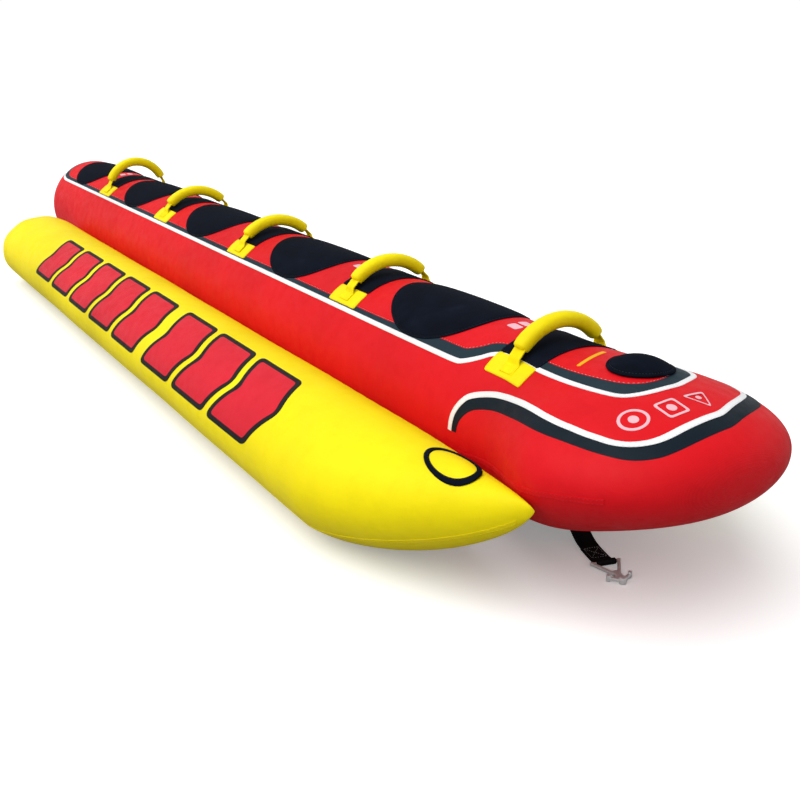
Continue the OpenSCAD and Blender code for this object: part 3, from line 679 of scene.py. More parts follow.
def shape_on(name, place, outline, material, flip=False, low=0.0001, high=0.0008, step=0.011, hole=None):
    """A closed thin patch of any outline, counter-clockwise in (forward, to port), laid on a skin."""
    loops = [even(loop, step * 0.6) for loop in (outline, hole) if loop is not None]
    lo, hi = loops[0].min(0), loops[0].max(0)
    gx, gy = np.meshgrid(np.arange(lo[0], hi[0], step), np.arange(lo[1], hi[1], step))
    grid = np.stack([gx.ravel(), gy.ravel()], 1)
    keep = inside(grid, loops[0])
    for loop in loops:
        keep &= np.linalg.norm(grid[:, None] - loop[None], axis=2).min(1) > step * 0.45
    if hole is not None:
        keep &= ~inside(grid, loops[1])
    points = [Vector(q) for loop in loops for q in loop] + [Vector(q) for q in grid[keep]]
    edges, at = [], 0
    for loop in loops:
        edges += [(at + i, at + (i + 1) % len(loop)) for i in range(len(loop))]
        at += len(loop)
    flat, _, tris, *_ = geometry.delaunay_2d_cdt(points, edges, [], 1, 1e-7)
    flat = np.array([tuple(q) for q in flat])
    if hole is not None:
        within = inside(np.array([flat[list(t)].mean(0) for t in tris]), loops[1])
        tris = [t for t, w in zip(tris, within) if not w]
    n = len(flat)
    top, bottom = (place(flat[:, 0], flat[:, 1], np.full(n, lift)) for lift in (high, low))
    sides = {(t[i], t[(i + 1) % len(t)]) for t in tris for i in range(len(t))}
    faces = [tuple(t) for t in tris] + [tuple(n + i for i in reversed(t)) for t in tris]
    faces += [(b, a, n + a, n + b) for a, b in sorted(sides) if (b, a) not in sides]
    return piece(name, np.concatenate([top, bottom]), faces, material, np.concatenate([flat, flat]), flip)


def stitches(name, rows, material, pitch=0.008, length=0.0052, thick=0.0007, flip=False):
    """Thread stitches along rows of (points, outward normals) in the row frame, as one piece."""
    verts, faces = [], []
    for points, normals in rows:
        run = run_along(points)
        count = int(run[-1] / pitch)
        if count < 1:
            continue
        mids = (np.arange(count) + 0.5) * run[-1] / count
        a, b, c = (resample(mids + shift, run, points) for shift in (-length / 2, length / 2, 0))
        n = unit(resample(mids, run, normals))
        side = unit(np.cross(b - a, n))
        for i in range(count):
            k = len(verts)
            verts += [a[i], b[i], c[i] + n[i] * thick, c[i] + side[i] * thick * 0.8, c[i] - n[i] * thick,
                      c[i] - side[i] * thick * 0.8]
            ring = (k + 2, k + 3, k + 4, k + 5)
            for q in range(4):
                faces += [(k, ring[q], ring[(q + 1) % 4]), (k + 1, ring[(q + 1) % 4], ring[q])]
    return piece(name, verts, faces, material, None, flip, 80)


def line_on(skin, line, lift):
    """Points and normals of a line of (x, angle) points, for stitches."""
    return skin.point(line[:, 0], line[:, 1], lift), skin.normal(line[:, 0], np.radians(line[:, 1]))


def ring_on(place, outline, centre, share, lift):
    """Points and normals round a panel's edge, for stitches."""
    c = np.array(centre, float)
    flat = c + (np.vstack([outline, outline[:1]]) - c) * share
    full = np.full(len(flat), lift)
    p = place(flat[:, 0], flat[:, 1], full)
    return p, place(flat[:, 0], flat[:, 1], full + 0.002) - p


# ---------------------------------------------------------------- covers and seams


def height_over(skin):
    """The height of a skin's upper side at x and y."""
    def height(x, y):
        yc, zc, w, h = skin.section(np.asarray(x, float))
        return zc + h * np.sqrt(np.maximum(0, 1 - ((y - yc) / w) ** 2))
    return height


deck_height, pontoon_height = height_over(tube), height_over(pontoon)


def top_normal(height, x, y):
    e = 1e-3
    gx = (height(x + e, y) - height(x - e, y)) / (2 * e)
    gy = (height(x, y + e) - height(x, y - e)) / (2 * e)
    return Vector((-float(gx), -float(gy), 1)).normalized()


def valve_seat(height, place, flip=False):
    """A valve's place on a skin, and the skin's normal there."""
    x, y = place
    n, z = top_normal(height, x, y), float(height(x, y))
    return ((x, -y, z), Vector((n.x, -n.y, n.z))) if flip else ((x, y, z), n)


NOSE_VALVE = (1.902, 0.035)
PONTOON_VALVE = (1.785, -0.375)
COVER_HOLE = 0.031
POCKET_DEPTH = 0.0042


def covers():
    verts, faces, uv = closed_skin(tube, step=0.012, around=152)
    hull = piece("center_cover_skin", verts, faces, red_nylon, uv, sharp=0)
    cut_round_pocket(hull, *valve_seat(deck_height, NOSE_VALVE), COVER_HOLE, POCKET_DEPTH, pvc_skin)
    on(hull, "hull", "center_cover")
    verts, faces, uv = closed_skin(pontoon, step=0.013, around=112)
    for side, flip in SIDES:
        ob = piece(f"{side}_pontoon_skin", verts, faces, yellow_nylon, uv, flip, sharp=0)
        cut_round_pocket(ob, *valve_seat(pontoon_height, PONTOON_VALVE, flip), COVER_HOLE, 2 * POCKET_DEPTH,
                         pvc_skin)
        on(ob, "hull", f"{side}_pontoon_cover")


def sewn_seam(names, skin, line, width, top, spread, stuff, thread, pitch, flip):
    """A flat seam along a line, with a row of stitches on each side of its middle."""
    on(ribbon(names[0], skin, line, width, 0.0001, top, stuff, flip), "hull")
    rows = [line_on(skin, beside(skin, line, d), top + 0.0002) for d in (-spread, spread)]
    on(stitches(names[1], rows, thread, pitch, flip=flip), "hull")


def seams():
    xs = np.linspace(-2.10, 2.12, 420)
    low = np.stack([xs, -np.degrees(tube.seam(xs))], 1)
    for side, flip in SIDES:
        sewn_seam((f"center_side_seam_{side}", f"center_side_stitches_{side}"), tube, low, 0.013, 0.0010, 0.004,
                  red_nylon, thread_red, 0.009, flip)
    xs = np.linspace(-1.70, 1.965, 350)
    for side, flip in SIDES:
        for tag, angle in (("inboard", 62.0), ("outboard", -128.0)):
            line = np.stack([xs, np.full_like(xs, angle)], 1)
            sewn_seam((f"{side}_pontoon_seam_{tag}", f"{side}_pontoon_stitches_{tag}"), pontoon, line, 0.011,
                      0.0009, 0.0035, yellow_nylon, thread_yellow, 0.010, flip)


# white line and band beside it: [line x, line angle, band edge x, band edge angle], tail to nose, starboard half
DECK_LINE = [
    (-2.060, 0, -2.032, 0), (-2.058, -16, -2.030, -14), (-2.050, -31, -2.020, -27), (-2.028, -41.5, -1.996, -36),
    (-1.975, -46.6, -1.945, -41), (-1.88, -47.5, -1.86, -42), (-1.5, -47.5, -1.5, -42), (-0.9, -47.5, -0.9, -42),
    (-0.3, -47.5, -0.3, -42), (0.3, -47.5, 0.3, -42), (0.8, -47.5, 0.8, -42), (1.13, -47.5, 1.13, -42),
    (1.30, -47.5, 1.292, -40), (1.41, -47.5, 1.395, -38.3), (1.492, -47.2, 1.485, -38), (1.522, -45.6, 1.512, -36.3),
    (1.563, -39.3, 1.540, -31.8), (1.590, -33.8, 1.563, -26.4), (1.628, -30.9, 1.602, -22.9),
    (1.700, -29.9, 1.690, -22.4), (1.761, -29.3, 1.745, -22.3), (1.850, -26.6, 1.828, -19.6),
    (1.943, -22.5, 1.905, -15.2), (1.985, -19.2, 1.944, -12.0), (2.003, -13.5, 1.965, -8.0), (2.010, -6.5, 1.974, -4),
    (2.011, 0, 1.976, 0)]
NOSE_LINE = [
    (1.560, -88, 1.585, -87.5), (1.561, -82, 1.589, -81.5), (1.566, -76, 1.600, -76.5), (1.582, -68.5, 1.619, -71.5),
    (1.608, -62.3, 1.645, -68), (1.670, -56.2, 1.702, -64), (1.750, -52, 1.775, -61), (1.839, -48.9, 1.850, -58.3),
    (1.950, -47.6, 1.965, -56.2), (2.040, -47.4, 2.062, -56.2), (2.092, -45.4, 2.122, -54.5),
    (2.120, -39, 2.153, -47.5),
    (2.132, -30, 2.166, -36), (2.133, -17, 2.170, -20), (2.130, 0, 2.168, 0)]
# their port ends, where the nose's trim turns round more gently than to starboard
DECK_PORT = [(2.009, 6.5, 1.974, 4.5), (1.999, 12.5, 1.966, 9.5), (1.986, 18.5, 1.953, 14.5),
             (1.968, 24.0, 1.934, 18.5), (1.930, 27.8, 1.898, 21.2), (1.850, 29.4, 1.838, 22.4),
             (1.761, 30.2, 1.750, 22.8)]
NOSE_PORT = [(2.126, 8, 2.163, 9), (2.108, 18, 2.146, 21), (2.086, 29, 2.124, 34), (2.062, 38, 2.098, 44.5),
             (2.030, 44.0, 2.062, 51.5), (1.995, 46.5, 2.020, 54.8)]
LINE_WIDTH = 0.0135
BAND_LIFTS, LINE_LIFTS = (0.0002, 0.0006), (0.0003, 0.0012)  # underside and top, above the skin


def bands():
    deck = smooth_rows(whole_line(DECK_LINE, DECK_PORT, last=1.70), per_metre=110)
    nose = smooth_rows(whole_line(NOSE_LINE, NOSE_PORT, last=1.95), per_metre=120)
    for tag, rows, cloth_of_band, width in (("deck", deck, slate_nylon, LINE_WIDTH),
                                            ("nose", nose, dark_nylon, LINE_WIDTH + 0.001)):
        on(strip_on(f"{tag}_band", tube, rows[:, :2], rows[:, 2:], *BAND_LIFTS, cloth_of_band, across=5), "hull")
        on(ribbon(f"{tag}_line", tube, rows[:, :2], width, *LINE_LIFTS, white_nylon), "hull")
    rows = [line_on(tube, beside(tube, line, d), lift)
            for line, d, lift in ((deck[:, 2:], 0.002, 0.0009), (deck[:, :2], -0.0045, 0.0014),
                                  (deck[:, :2], 0.0045, 0.0014), (nose[:, :2], -0.005, 0.0014),
                                  (nose[:, :2], 0.005, 0.0014))]
    on(stitches("band_stitches", rows, thread_pale, pitch=0.010, length=0.006, thick=0.0005), "hull")


# ---------------------------------------------------------------- seats and handles

HANDLE_X = [-1.3275, -0.5775, 0.1725, 0.9225, 1.6725]
CROWN_Z = [0.564, 0.531, 0.529, 0.531, 0.537]
PAD_BEHIND = 0.408
PATCH_HALF = 0.0725
PIVOT_ANGLE, PIVOT_LIFT = 31.0, 0.0166


def arc_length(degrees):
    """Metres round the tube's straight part."""
    return math.radians(degrees) * tube.radius


def on_tube(u, v, lift):
    """u is x, and v is metres round the tube from its crown, at its straight part's radius."""
    return tube.point(u, np.degrees(v / tube.radius), lift)


def superellipse(q, power):
    return np.stack([np.sign(f) * np.abs(f) ** (2 / power) for f in (np.cos(q), np.sin(q))], 1)


def super_round(half, count, power=2.3):
    return superellipse(np.linspace(0, TAU, count, endpoint=False), power) * half


def seat_pad(i):
    x = HANDLE_X[i] - PAD_BEHIND
    q = np.linspace(0, TAU, 152, endpoint=False)
    outline = superellipse(q, np.where(np.cos(q) > 0, 2.25, 1.75)) * (0.210, arc_length(45.5)) + (x, 0)
    section = in_metres([
        (0, 8.4), (0.12, 8.4), (0.25, 8.3), (0.38, 8.1), (0.5, 7.9), (0.62, 7.5), (0.73, 7.0), (0.82, 6.3),
        (0.89, 5.4), (0.93, 4.4), (0.948, 3.4), (0.956, 2.5), (0.962, 2.4), (0.969, 2.9), (0.984, 3.1),
        (0.995, 2.7), (1.0, 1.9), (1.0, 0.8), (0.9, 0.7), (0.6, 0.7), (0.3, 0.7), (0, 0.7)])
    ob = fan_panel(f"seat_pad_{i + 1}_foam", on_tube, outline, (x, 0), section, black_neoprene, sharp=0)
    on(ob, "hull", f"seat_pad_{i + 1}")
    rows = [ring_on(on_tube, outline, (x, 0), share, 0.0030) for share in (0.959, 0.978)]
    on(stitches(f"seat_pad_{i + 1}_stitches", rows, thread_dark, 0.009), "hull")


def flat_panel(name, centre, half, material, top, radius=0.008):
    """A sewn rectangle on the centre tube, half = (along x, round the tube) in metres."""
    (cx, cv), (hx, hv) = centre, half
    outline = even(rounded(rectangle(cx - hx, cx + hx, cv - hv, cv + hv), radius, 8), 0.006)
    low = 0.0006
    section = [(share, top) for share in (0, 0.15, 0.3, 0.45, 0.6, 0.72, 0.84, 0.92)]
    section += [(0.962, top - 0.0002), (0.972, top - 0.0004), (0.985, top - 0.0001), (0.996, top - 0.0006),
                (1.0, (top + low) / 2), (1.0, low), (0.8, low), (0.5, low), (0.25, low), (0, low)]
    return fan_panel(name, on_tube, outline, centre, section, material), outline


def patches_and_guard(i):
    x = HANDLE_X[i]
    n = i + 1
    for side, sign in (("starboard", -1), ("port", 1)):
        middle = sign * arc_length(37.5)
        ob, outline = flat_panel(f"handle_patch_{n}_{side}", (x, middle), (PATCH_HALF, arc_length(7.5)),
                                 yellow_nylon, 0.0031)
        on(ob, "hull", f"handle_patches_{n}")
        rows = [ring_on(on_tube, outline, (x, middle), share, 0.0031) for share in (0.955, 0.90)]
        # a crossed box where the handle's webbing is sewn down
        for a, b in crossed_box(rectangle(x - 0.019, x + 0.019, middle - 0.014, middle + 0.014)):
            u, v = np.linspace(a, b, 12).T
            p = on_tube(u, v, np.full(12, 0.0058))
            rows.append((p, on_tube(u, v, np.full(12, 0.0078)) - p))
        on(stitches(f"handle_patch_{n}_stitches_{side}", rows, thread_yellow, 0.007), "hull")
    ob, outline = flat_panel(f"knuckle_guard_{n}_pad", (x, 0), (PATCH_HALF, arc_length(29.5)), black_neoprene,
                             0.0030, 0.006)
    on(ob, "hull", f"knuckle_guard_{n}")
    rows = [ring_on(on_tube, outline, (x, 0), 0.972, 0.0029)]
    on(stitches(f"knuckle_guard_{n}_stitches", rows, thread_dark, 0.009), "hull")


def arch(i):
    """A handle's arch: half span, pivot height, radius of its centre line and half angle in radians."""
    a = math.radians(PIVOT_ANGLE)
    _, zc, w, h = (float(v) for v in tube.section(np.array(HANDLE_X[i])))
    half, height = (w + PIVOT_LIFT) * math.sin(a), zc + (h + PIVOT_LIFT) * math.cos(a)
    rise = CROWN_Z[i] - height
    radius = (half * half + rise * rise) / (2 * rise)
    return half, height, radius, math.asin(half / radius)


def line_normals(line):
    """Normals of a flat line, to the left of its direction."""
    tangent = unit(np.gradient(line, axis=0))
    return np.stack([-tangent[:, 1], tangent[:, 0]], 1)


def swept_faces(n, m):
    """Faces of a closed solid swept through n sections of m points."""
    return grid_faces(n, m, 0, True) + [tuple(range(m)), tuple(reversed(range((n - 1) * m, n * m)))]


SLEEVE_END = math.radians(7)
SLEEVE_HALF = (0.0214, 0.0188)
CORE_HALF = (0.0188, 0.0021)
SLOT_GAP = 0.0006


def handle(i):
    n = i + 1
    x = HANDLE_X[i]
    half, height, radius, reach = arch(i)
    top = reach - SLEEVE_END
    centre = np.array([x, 0, CROWN_Z[i] - radius])

    def outwards(a):
        return np.array([0, math.sin(a), math.cos(a)])

    # sleeve: outside from end to end, then back along the slot that the webbing runs through
    count, ring = 84, 40
    angles = np.linspace(-top, top, count)
    outside = super_round(SLEEVE_HALF, ring)
    slot = super_round(np.array(CORE_HALF) + SLOT_GAP, ring)
    profile = []
    for t in angles / top:
        end = (1 - abs(t)) * top * radius  # metres from the sleeve's nearer end
        full = min(1.0, 0.90 + 0.10 * (1 - (1 - min(1.0, end / 0.026)) ** 2.2))
        lip = min(1.0, 0.72 + 0.28 * math.sqrt(min(1.0, end / 0.0035)))
        crease = 1 + 0.012 * math.sin(34 * t + 0.7 * i) * math.exp(-((abs(t) - 0.45) / 0.30) ** 2)
        profile.append(outside * full * lip * crease)
    verts, uv = [], []
    for shapes in (profile, [slot] * count):
        for a, shape in zip(angles, shapes):
            for q, (across, out) in enumerate(shape):
                verts.append(centre + (radius + out) * outwards(a) + np.array([across, 0, 0]))
                uv.append((a * radius, TAU * q / ring * 0.02))
    k, last = count * ring, (count - 1) * ring
    pairs = [(j, (j + 1) % ring) for j in range(ring)]
    faces = backwards(grid_faces(count, ring, 0, True)) + grid_faces(count, ring, k, True)
    faces += [(a, b, k + b, k + a) for a, b in pairs]
    faces += [(last + b, last + a, k + last + a, k + last + b) for a, b in pairs]
    grip = piece(f"handle_grip_{n}_sleeve", verts, faces, grip_nylon, uv, False, 60)
    on(grip, f"handle_{n}", f"handle_grip_{n}")
    # the sleeve's sewn seam, along its inner curve
    ups = np.array([outwards(a) for a in np.linspace(-top * 0.93, top * 0.93, 90)])
    seam = centre + (radius - SLEEVE_HALF[1] - 0.0001) * ups
    rows = [(seam + np.array([d, 0, 0]), -ups) for d in (-0.003, 0.003)]
    on(stitches(f"handle_grip_{n}_stitches", rows, thread_yellow, 0.007), f"handle_{n}")
    # webbing: sewn flat on each patch, up off it, and through the sleeve
    path = [tube.point(np.array(x), a, lift * MM)[1:]
            for a, lift in ((41.5, 5.2), (39.0, 5.2), (36.5, 5.3), (34.6, 6.4))]
    path.append((half + 0.0035, height - 0.0035))
    path += [(centre + radius * outwards(a))[1:] for a in (reach - 0.045, *np.linspace(reach - 0.12, 0, 12))]
    dense = spline(path + [(-y, z) for y, z in path[-2::-1]], 170)
    normals = line_normals(dense)
    if normals[len(normals) // 2, 1] < 0:
        normals = -normals
    flat = super_round(1.0, 28, 7.0)
    verts, uv = [], []
    for (y, z), (ny, nz), run in zip(dense, normals, run_along(dense)):
        sewn = float(ease(0.0, 0.016, height - 0.006 - z))
        for across, out in flat * (CORE_HALF[0] + 0.0042 * sewn, CORE_HALF[1]):
            verts.append((x + across, y + ny * out, z + nz * out))
            uv.append((run, across + out))
    strap = piece(f"handle_webbing_{n}_strap", verts, swept_faces(len(dense), len(flat)), yellow_webbing, uv,
                  False, 40)
    fix_winding(strap)
    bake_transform(strap)
    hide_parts(f"handle_webbing_{n}")


# ---------------------------------------------------------------- valves and their flaps


def over(height):
    return lambda u, v, lift: np.stack([u, v, height(u, v) + lift], -1)


def oval(centre, half, count=96):
    q = np.linspace(0, TAU, count, endpoint=False)
    return np.stack([centre[0] + half[0] * np.cos(q), centre[1] + half[1] * np.sin(q)], 1)


def flaps():
    place = over(deck_height)
    outline = oval(NOSE_VALVE, (0.067, 0.082))
    def dome(r):
        return 4.5 + 22 * (1 - r * r)

    section = [(r, dome(r)) for r in (0, 0.12, 0.25, 0.38, 0.5, 0.6, 0.7, 0.78, 0.85, 0.89)]
    section += [(0.905, dome(0.905) - 0.9), (0.915, dome(0.915) - 0.2), (0.93, 8.2), (0.96, 7.6), (0.985, 6.2),
                (0.998, 4.4), (1.0, 3.0), (0.99, 1.7), (0.96, 1.5), (0.90, 1.9), (0.8, 9.0), (0.6, 15.4),
                (0.3, 21.4), (0, 23.4)]
    ob = fan_panel("center_valve_cover_dome", place, outline, NOSE_VALVE, in_metres(section), black_neoprene,
                   sharp=60)
    on(ob, "nose_flap", "center_valve_flap")
    rows = [ring_on(place, outline, NOSE_VALVE, 0.905, (dome(0.905) - 0.4) * MM)]
    on(stitches("center_valve_cover_stitches", rows, thread_dark, 0.007), "nose_flap")
    place = over(pontoon_height)
    outline = oval(PONTOON_VALVE, (0.083, 0.049))
    disc = [(0.8 * r, 4.5 + 7 * (1 - r * r)) for r in (0, 0.2, 0.4, 0.6, 0.75, 0.88, 0.96, 1.0)]
    disc += [(0.81, 4.2), (0.81, 1.9), (0.79, 1.6)]
    disc += [(0.8 * r, 1.5 + 7 * (1 - r * r)) for r in (0.9, 0.7, 0.4, 0)]
    ring = [(0.805, 2.2), (0.805, 5.6), (0.82, 6.9), (0.86, 7.4), (0.905, 7.5), (0.95, 7.2), (0.985, 6.0),
            (1.0, 4.2), (0.995, 2.4), (0.97, 1.5), (0.85, 1.5), (0.815, 1.7)]
    for side, flip in SIDES:
        ob = fan_panel(f"{side}_valve_flap_disc", place, outline, PONTOON_VALVE, in_metres(disc), yellow_nylon,
                       flip, 60)
        on(ob, f"{side}_flap", f"{side}_valve_flap")
        ob = band_panel(f"{side}_valve_flap_edge", place, outline, PONTOON_VALVE, in_metres(ring),
                        black_neoprene, flip)
        fix_winding(ob)
        on(ob, f"{side}_flap", f"{side}_valve_flap_binding")
        rows = [ring_on(place, outline, PONTOON_VALVE, 0.865, 0.0076)]
        on(stitches(f"{side}_valve_flap_stitches", rows, thread_dark, 0.007, flip=flip), f"{side}_flap")


def valve_details():
    """Grip ribs round each cap, and a pull tab on it."""
    ribs = 24
    for side, body, place, height, flip in (("center", "nose_cap", NOSE_VALVE, deck_height, False),
                                            ("starboard", "starboard_cap", PONTOON_VALVE, pontoon_height, False),
                                            ("port", "port_cap", PONTOON_VALVE, pontoon_height, True)):
        bm = bmesh.new()
        for k in range(ribs):
            rib = block(bm, (0.0011, 0.0014, 0.0036), (0.0181, 0, 0.0012))
            bmesh.ops.rotate(bm, cent=(0, 0, 0), matrix=Matrix.Rotation(TAU * k / ribs, 3, "Z"), verts=rib)
        block(bm, (0.022, 0.004, 0.0032), (0, 0, 0.0053))
        bmesh.ops.bevel(bm, geom=list(bm.edges), offset=0.0004, segments=2, affect="EDGES")
        bmesh.ops.transform(bm, matrix=facing(*valve_seat(height, place, flip)), verts=bm.verts)
        on(built(f"{side}_cap_ribs", bm, valve_plastic), body)


# ---------------------------------------------------------------- tow gear

STRAP_PIVOT = Vector((1.700, 0.045, 0.0))
STRAP_YAW = math.radians(-16)
FORWARD = Vector((math.cos(STRAP_YAW), math.sin(STRAP_YAW), 0))
ACROSS = Vector((-math.sin(STRAP_YAW), math.cos(STRAP_YAW), 0))
LOOP_CENTRE = (196.0, 9.0)


def strap_point(u, v, w):
    """Strap frame to row frame: u forward along the strap, v across it, w up, in millimetres."""
    return STRAP_PIVOT + FORWARD * (u * MM) + ACROSS * (v * MM) + Vector((0, 0, w * MM))


def tow_strap():
    upper = [(-7, 47.0), (0, 43.6), (18, 41.6), (40, 33.6), (62, 22.2), (84, 12.0), (106, 6.8), (130, 4.9),
             (150, 4.8), (168, 5.0), (180, 6.6), (188, 11.2)]
    loop = [(LOOP_CENTRE[0] + 6.6 * math.cos(q), LOOP_CENTRE[1] + 6.6 * math.sin(q))
            for q in np.radians([125, 90, 50, 10, -30, -65, -95])]
    lower = [(186, 3.0), (176, 2.1), (160, 2.2), (140, 2.3), (122, 3.0), (116, 3.6)]
    line = spline(upper + loop + lower, 150)
    half_width, half_thick, floor_gap = 24.8, 1.15, 0.4
    flat = super_round(1.0, 36, 9.0)
    verts, uv = [], []
    for i, ((u, w), (nu, nw), run) in enumerate(zip(line, line_normals(line), run_along(line) * MM)):
        frayed = 1 + 0.006 * math.sin(1.9 * i)
        for a, b in flat:
            across, out = a * half_width * frayed, b * half_thick
            verts.append(tuple(strap_point(u + nu * out, across, max(floor_gap, w + nw * out))))
            uv.append((run, across * MM))
    ob = piece("tow_strap_webbing", verts, swept_faces(len(line), len(flat)), black_webbing, uv, False, 50)
    fix_winding(ob)
    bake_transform(ob)
    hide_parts("tow_strap")
    # the crossed box that closes the loop, on the part of the line that runs forward over the lower ply
    upper_ply, count, rows = line[:80], 24, []
    for a, b in crossed_box(rectangle(122, 166, -19, 19)):
        points = [tuple(strap_point(u, v, float(np.interp(u, *upper_ply.T)) + half_thick + 0.2))
                  for u, v in np.linspace(a, b, count)]
        rows.append((np.array(points), np.tile([0.0, 0.0, 1.0], (count, 1))))
    on(stitches("tow_strap_stitches", rows, thread_pale, pitch=0.0055, length=0.0038, thick=0.0006), "strap")


def cast_hook():
    """The CAD hook with the rounded edges and fillets of a casting."""
    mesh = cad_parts["tow_hook"].data.copy()
    mesh.name = "tow_hook_casting"
    ob = add_object("tow_hook_casting", mesh)
    remesh = ob.modifiers.new("remesh", "REMESH")
    remesh.mode, remesh.voxel_size, remesh.use_smooth_shade = "VOXEL", 0.0009, True
    smooth = ob.modifiers.new("smooth", "SMOOTH")
    smooth.factor, smooth.iterations = 0.5, 9
    apply_modifiers(ob)
    ob.data.polygons.foreach_set("use_smooth", [True] * len(ob.data.polygons))
    ob.data.materials.clear()
    ob.data.materials.append(cast_metal)
    on(ob, "hook", "tow_hook")


def tow_patch():
    """The patch under the nose that the tow strap is sewn to."""
    def place(u, v, lift):
        return tube.point(u, 180 + np.degrees(v / tube.radius), lift)

    x0, x1, half = 1.63625, 1.745, arc_length(22.5)
    outline = even(rounded(rectangle(x0, x1, -half, half), 0.012, 8), 0.006)
    centre = ((x0 + x1) / 2, 0)
    top, low = 0.0031, 0.0006
    section = [(share, top) for share in (0, 0.2, 0.4, 0.6, 0.8)]
    section += [(0.95, top - 0.0003), (0.985, top), (1.0, 0.0019), (1.0, low), (0.7, low), (0.4, low), (0, low)]
    ob = fan_panel("tow_patch_sheet", place, outline, centre, section, black_webbing)
    fix_winding(ob)
    on(ob, "hull", "tow_patch")
    rows = [ring_on(place, outline, centre, share, top) for share in (0.95, 0.86)]
    on(stitches("tow_patch_stitches", rows, thread_pale, 0.007), "hull")


# ---------------------------------------------------------------- small parts


def join_webs():
    """The sewn web between the centre tube and each pontoon, gathered a little along its length."""
    low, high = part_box("starboard_join_web")
    xs, t = np.linspace(low.x, high.x, 240), np.linspace(0, 1, 9)
    tilt, reach, width, half_thick = math.radians(18), 0.2274, 0.056, 0.0009
    out = np.array([0, -math.cos(tilt), -math.sin(tilt)])
    up = np.array([0, -math.sin(tilt), math.cos(tilt)])
    centre = np.array([0, 0, tube.axis_z]) + reach * out
    verts, uv = [], []
    for half in (half_thick, -half_thick):
        for x in xs:
            for s in t:
                sway = 0.0005 * math.sin(TAU * x / 0.047 + 2 * s)
                p = centre + up * (s - 0.5) * width + out * (half + sway)
                verts.append((x, p[1], p[2]))
                uv.append((x, s * width))
    for side, flip in SIDES:
        ob = piece(f"{side}_join_web_strip", verts, sheet_faces(len(xs), len(t)), red_nylon, uv, flip)
        fix_winding(ob)
        on(ob, "hull", f"{side}_join_web")


def zip_closure():
    """The cloth, teeth and slider of the zip underneath."""
    low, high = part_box("center_zip_tape")
    top = high.z
    xs = np.linspace(low.x, high.x, 100)
    ys = [-0.015, -0.0144, -0.0045, 0.0045, 0.0144, 0.015]
    verts = [(x, y, top - 0.0011 * level - 0.0002 * level * math.sin(60 * x))
             for level in (0, 1) for x in xs for y in ys]
    ob = piece("center_zip_cloth", verts, sheet_faces(len(xs), len(ys)), black_webbing, smooth=False)
    fix_winding(ob)
    on(ob, "hull", "center_zip_tape")
    bm = bmesh.new()
    pitch, margin = 0.0025, 0.005
    for k in range(int((high.x - low.x - 2 * margin) / pitch)):
        side = 1 if k % 2 else -1
        block(bm, (0.0015, 0.0034, 0.0012), (low.x + margin + pitch * k, side * 0.0009, top - 0.0019))
    bmesh.ops.bevel(bm, geom=list(bm.edges), offset=0.0003, segments=1, affect="EDGES")
    on(built("center_zip_teeth", bm, thread_dark), "hull")
    low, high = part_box("center_zip_slider")
    cx, top = (low.x + high.x) / 2, high.z
    bm = bmesh.new()
    outline = rounded([(-0.009, -0.0038), (0.001, -0.0045), (0.0095, -0.0062), (0.0095, 0.0062), (0.001, 0.0045),
                       (-0.009, 0.0038)], 0.0025, 5)
    lower = [bm.verts.new((cx + x, y, top - 0.0002)) for x, y in outline]
    upper = [bm.verts.new((cx + x * 0.94, y * 0.9, top - 0.0028)) for x, y in outline]
    bm.faces.new(lower)
    bm.faces.new(upper[::-1])
    for a in range(len(outline)):
        b = (a + 1) % len(outline)
        bm.faces.new([lower[a], lower[b], upper[b], upper[a]])
    block(bm, (0.016, 0.0065, 0.0011), (cx + 0.001, 0, top - 0.0042))
    bmesh.ops.recalc_face_normals(bm, faces=bm.faces)
    bmesh.ops.bevel(bm, geom=list(bm.edges), offset=0.0004, segments=2, affect="EDGES")
    on(built("center_zip_slider_body", bm, cast_metal), "zip_slider", "center_zip_slider")


# ---------------------------------------------------------------- graphics


def pontoon_arc():
    """Metres round the pontoon's full section from its crown, against the angle."""
    a = np.radians(np.linspace(0, 175, 400))
    rate = np.sqrt((pontoon.half_width * np.cos(a)) ** 2 + (pontoon.half_height * np.sin(a)) ** 2)
    run = np.concatenate([[0], np.cumsum((rate[1:] + rate[:-1]) / 2 * np.diff(a))])
    return np.degrees(a), run


ARC_ANGLES, ARC_RUN = pontoon_arc()


def on_pontoon(u, v, lift):
    """u is x, and v is metres round the pontoon from its crown towards port, so outboard is negative."""
    angle = np.sign(v) * np.interp(np.abs(v), ARC_RUN, ARC_ANGLES)
    return pontoon.point(u, angle, lift)


def chevron(cx, cv, length, height, point):
    """A chevron that points forward, counter-clockwise."""
    x0, x1 = cx - length / 2, cx + length / 2
    y0, y1 = cv - height / 2, cv + height / 2
    return [(x0, y0), (x1 - point, y0), (x1, cv), (x1 - point, y1), (x0, y1), (x0 + point, cv)]


def printed(name, place, outline, material, **more):
    on(shape_on(name, place, outline, material, **more), "hull")


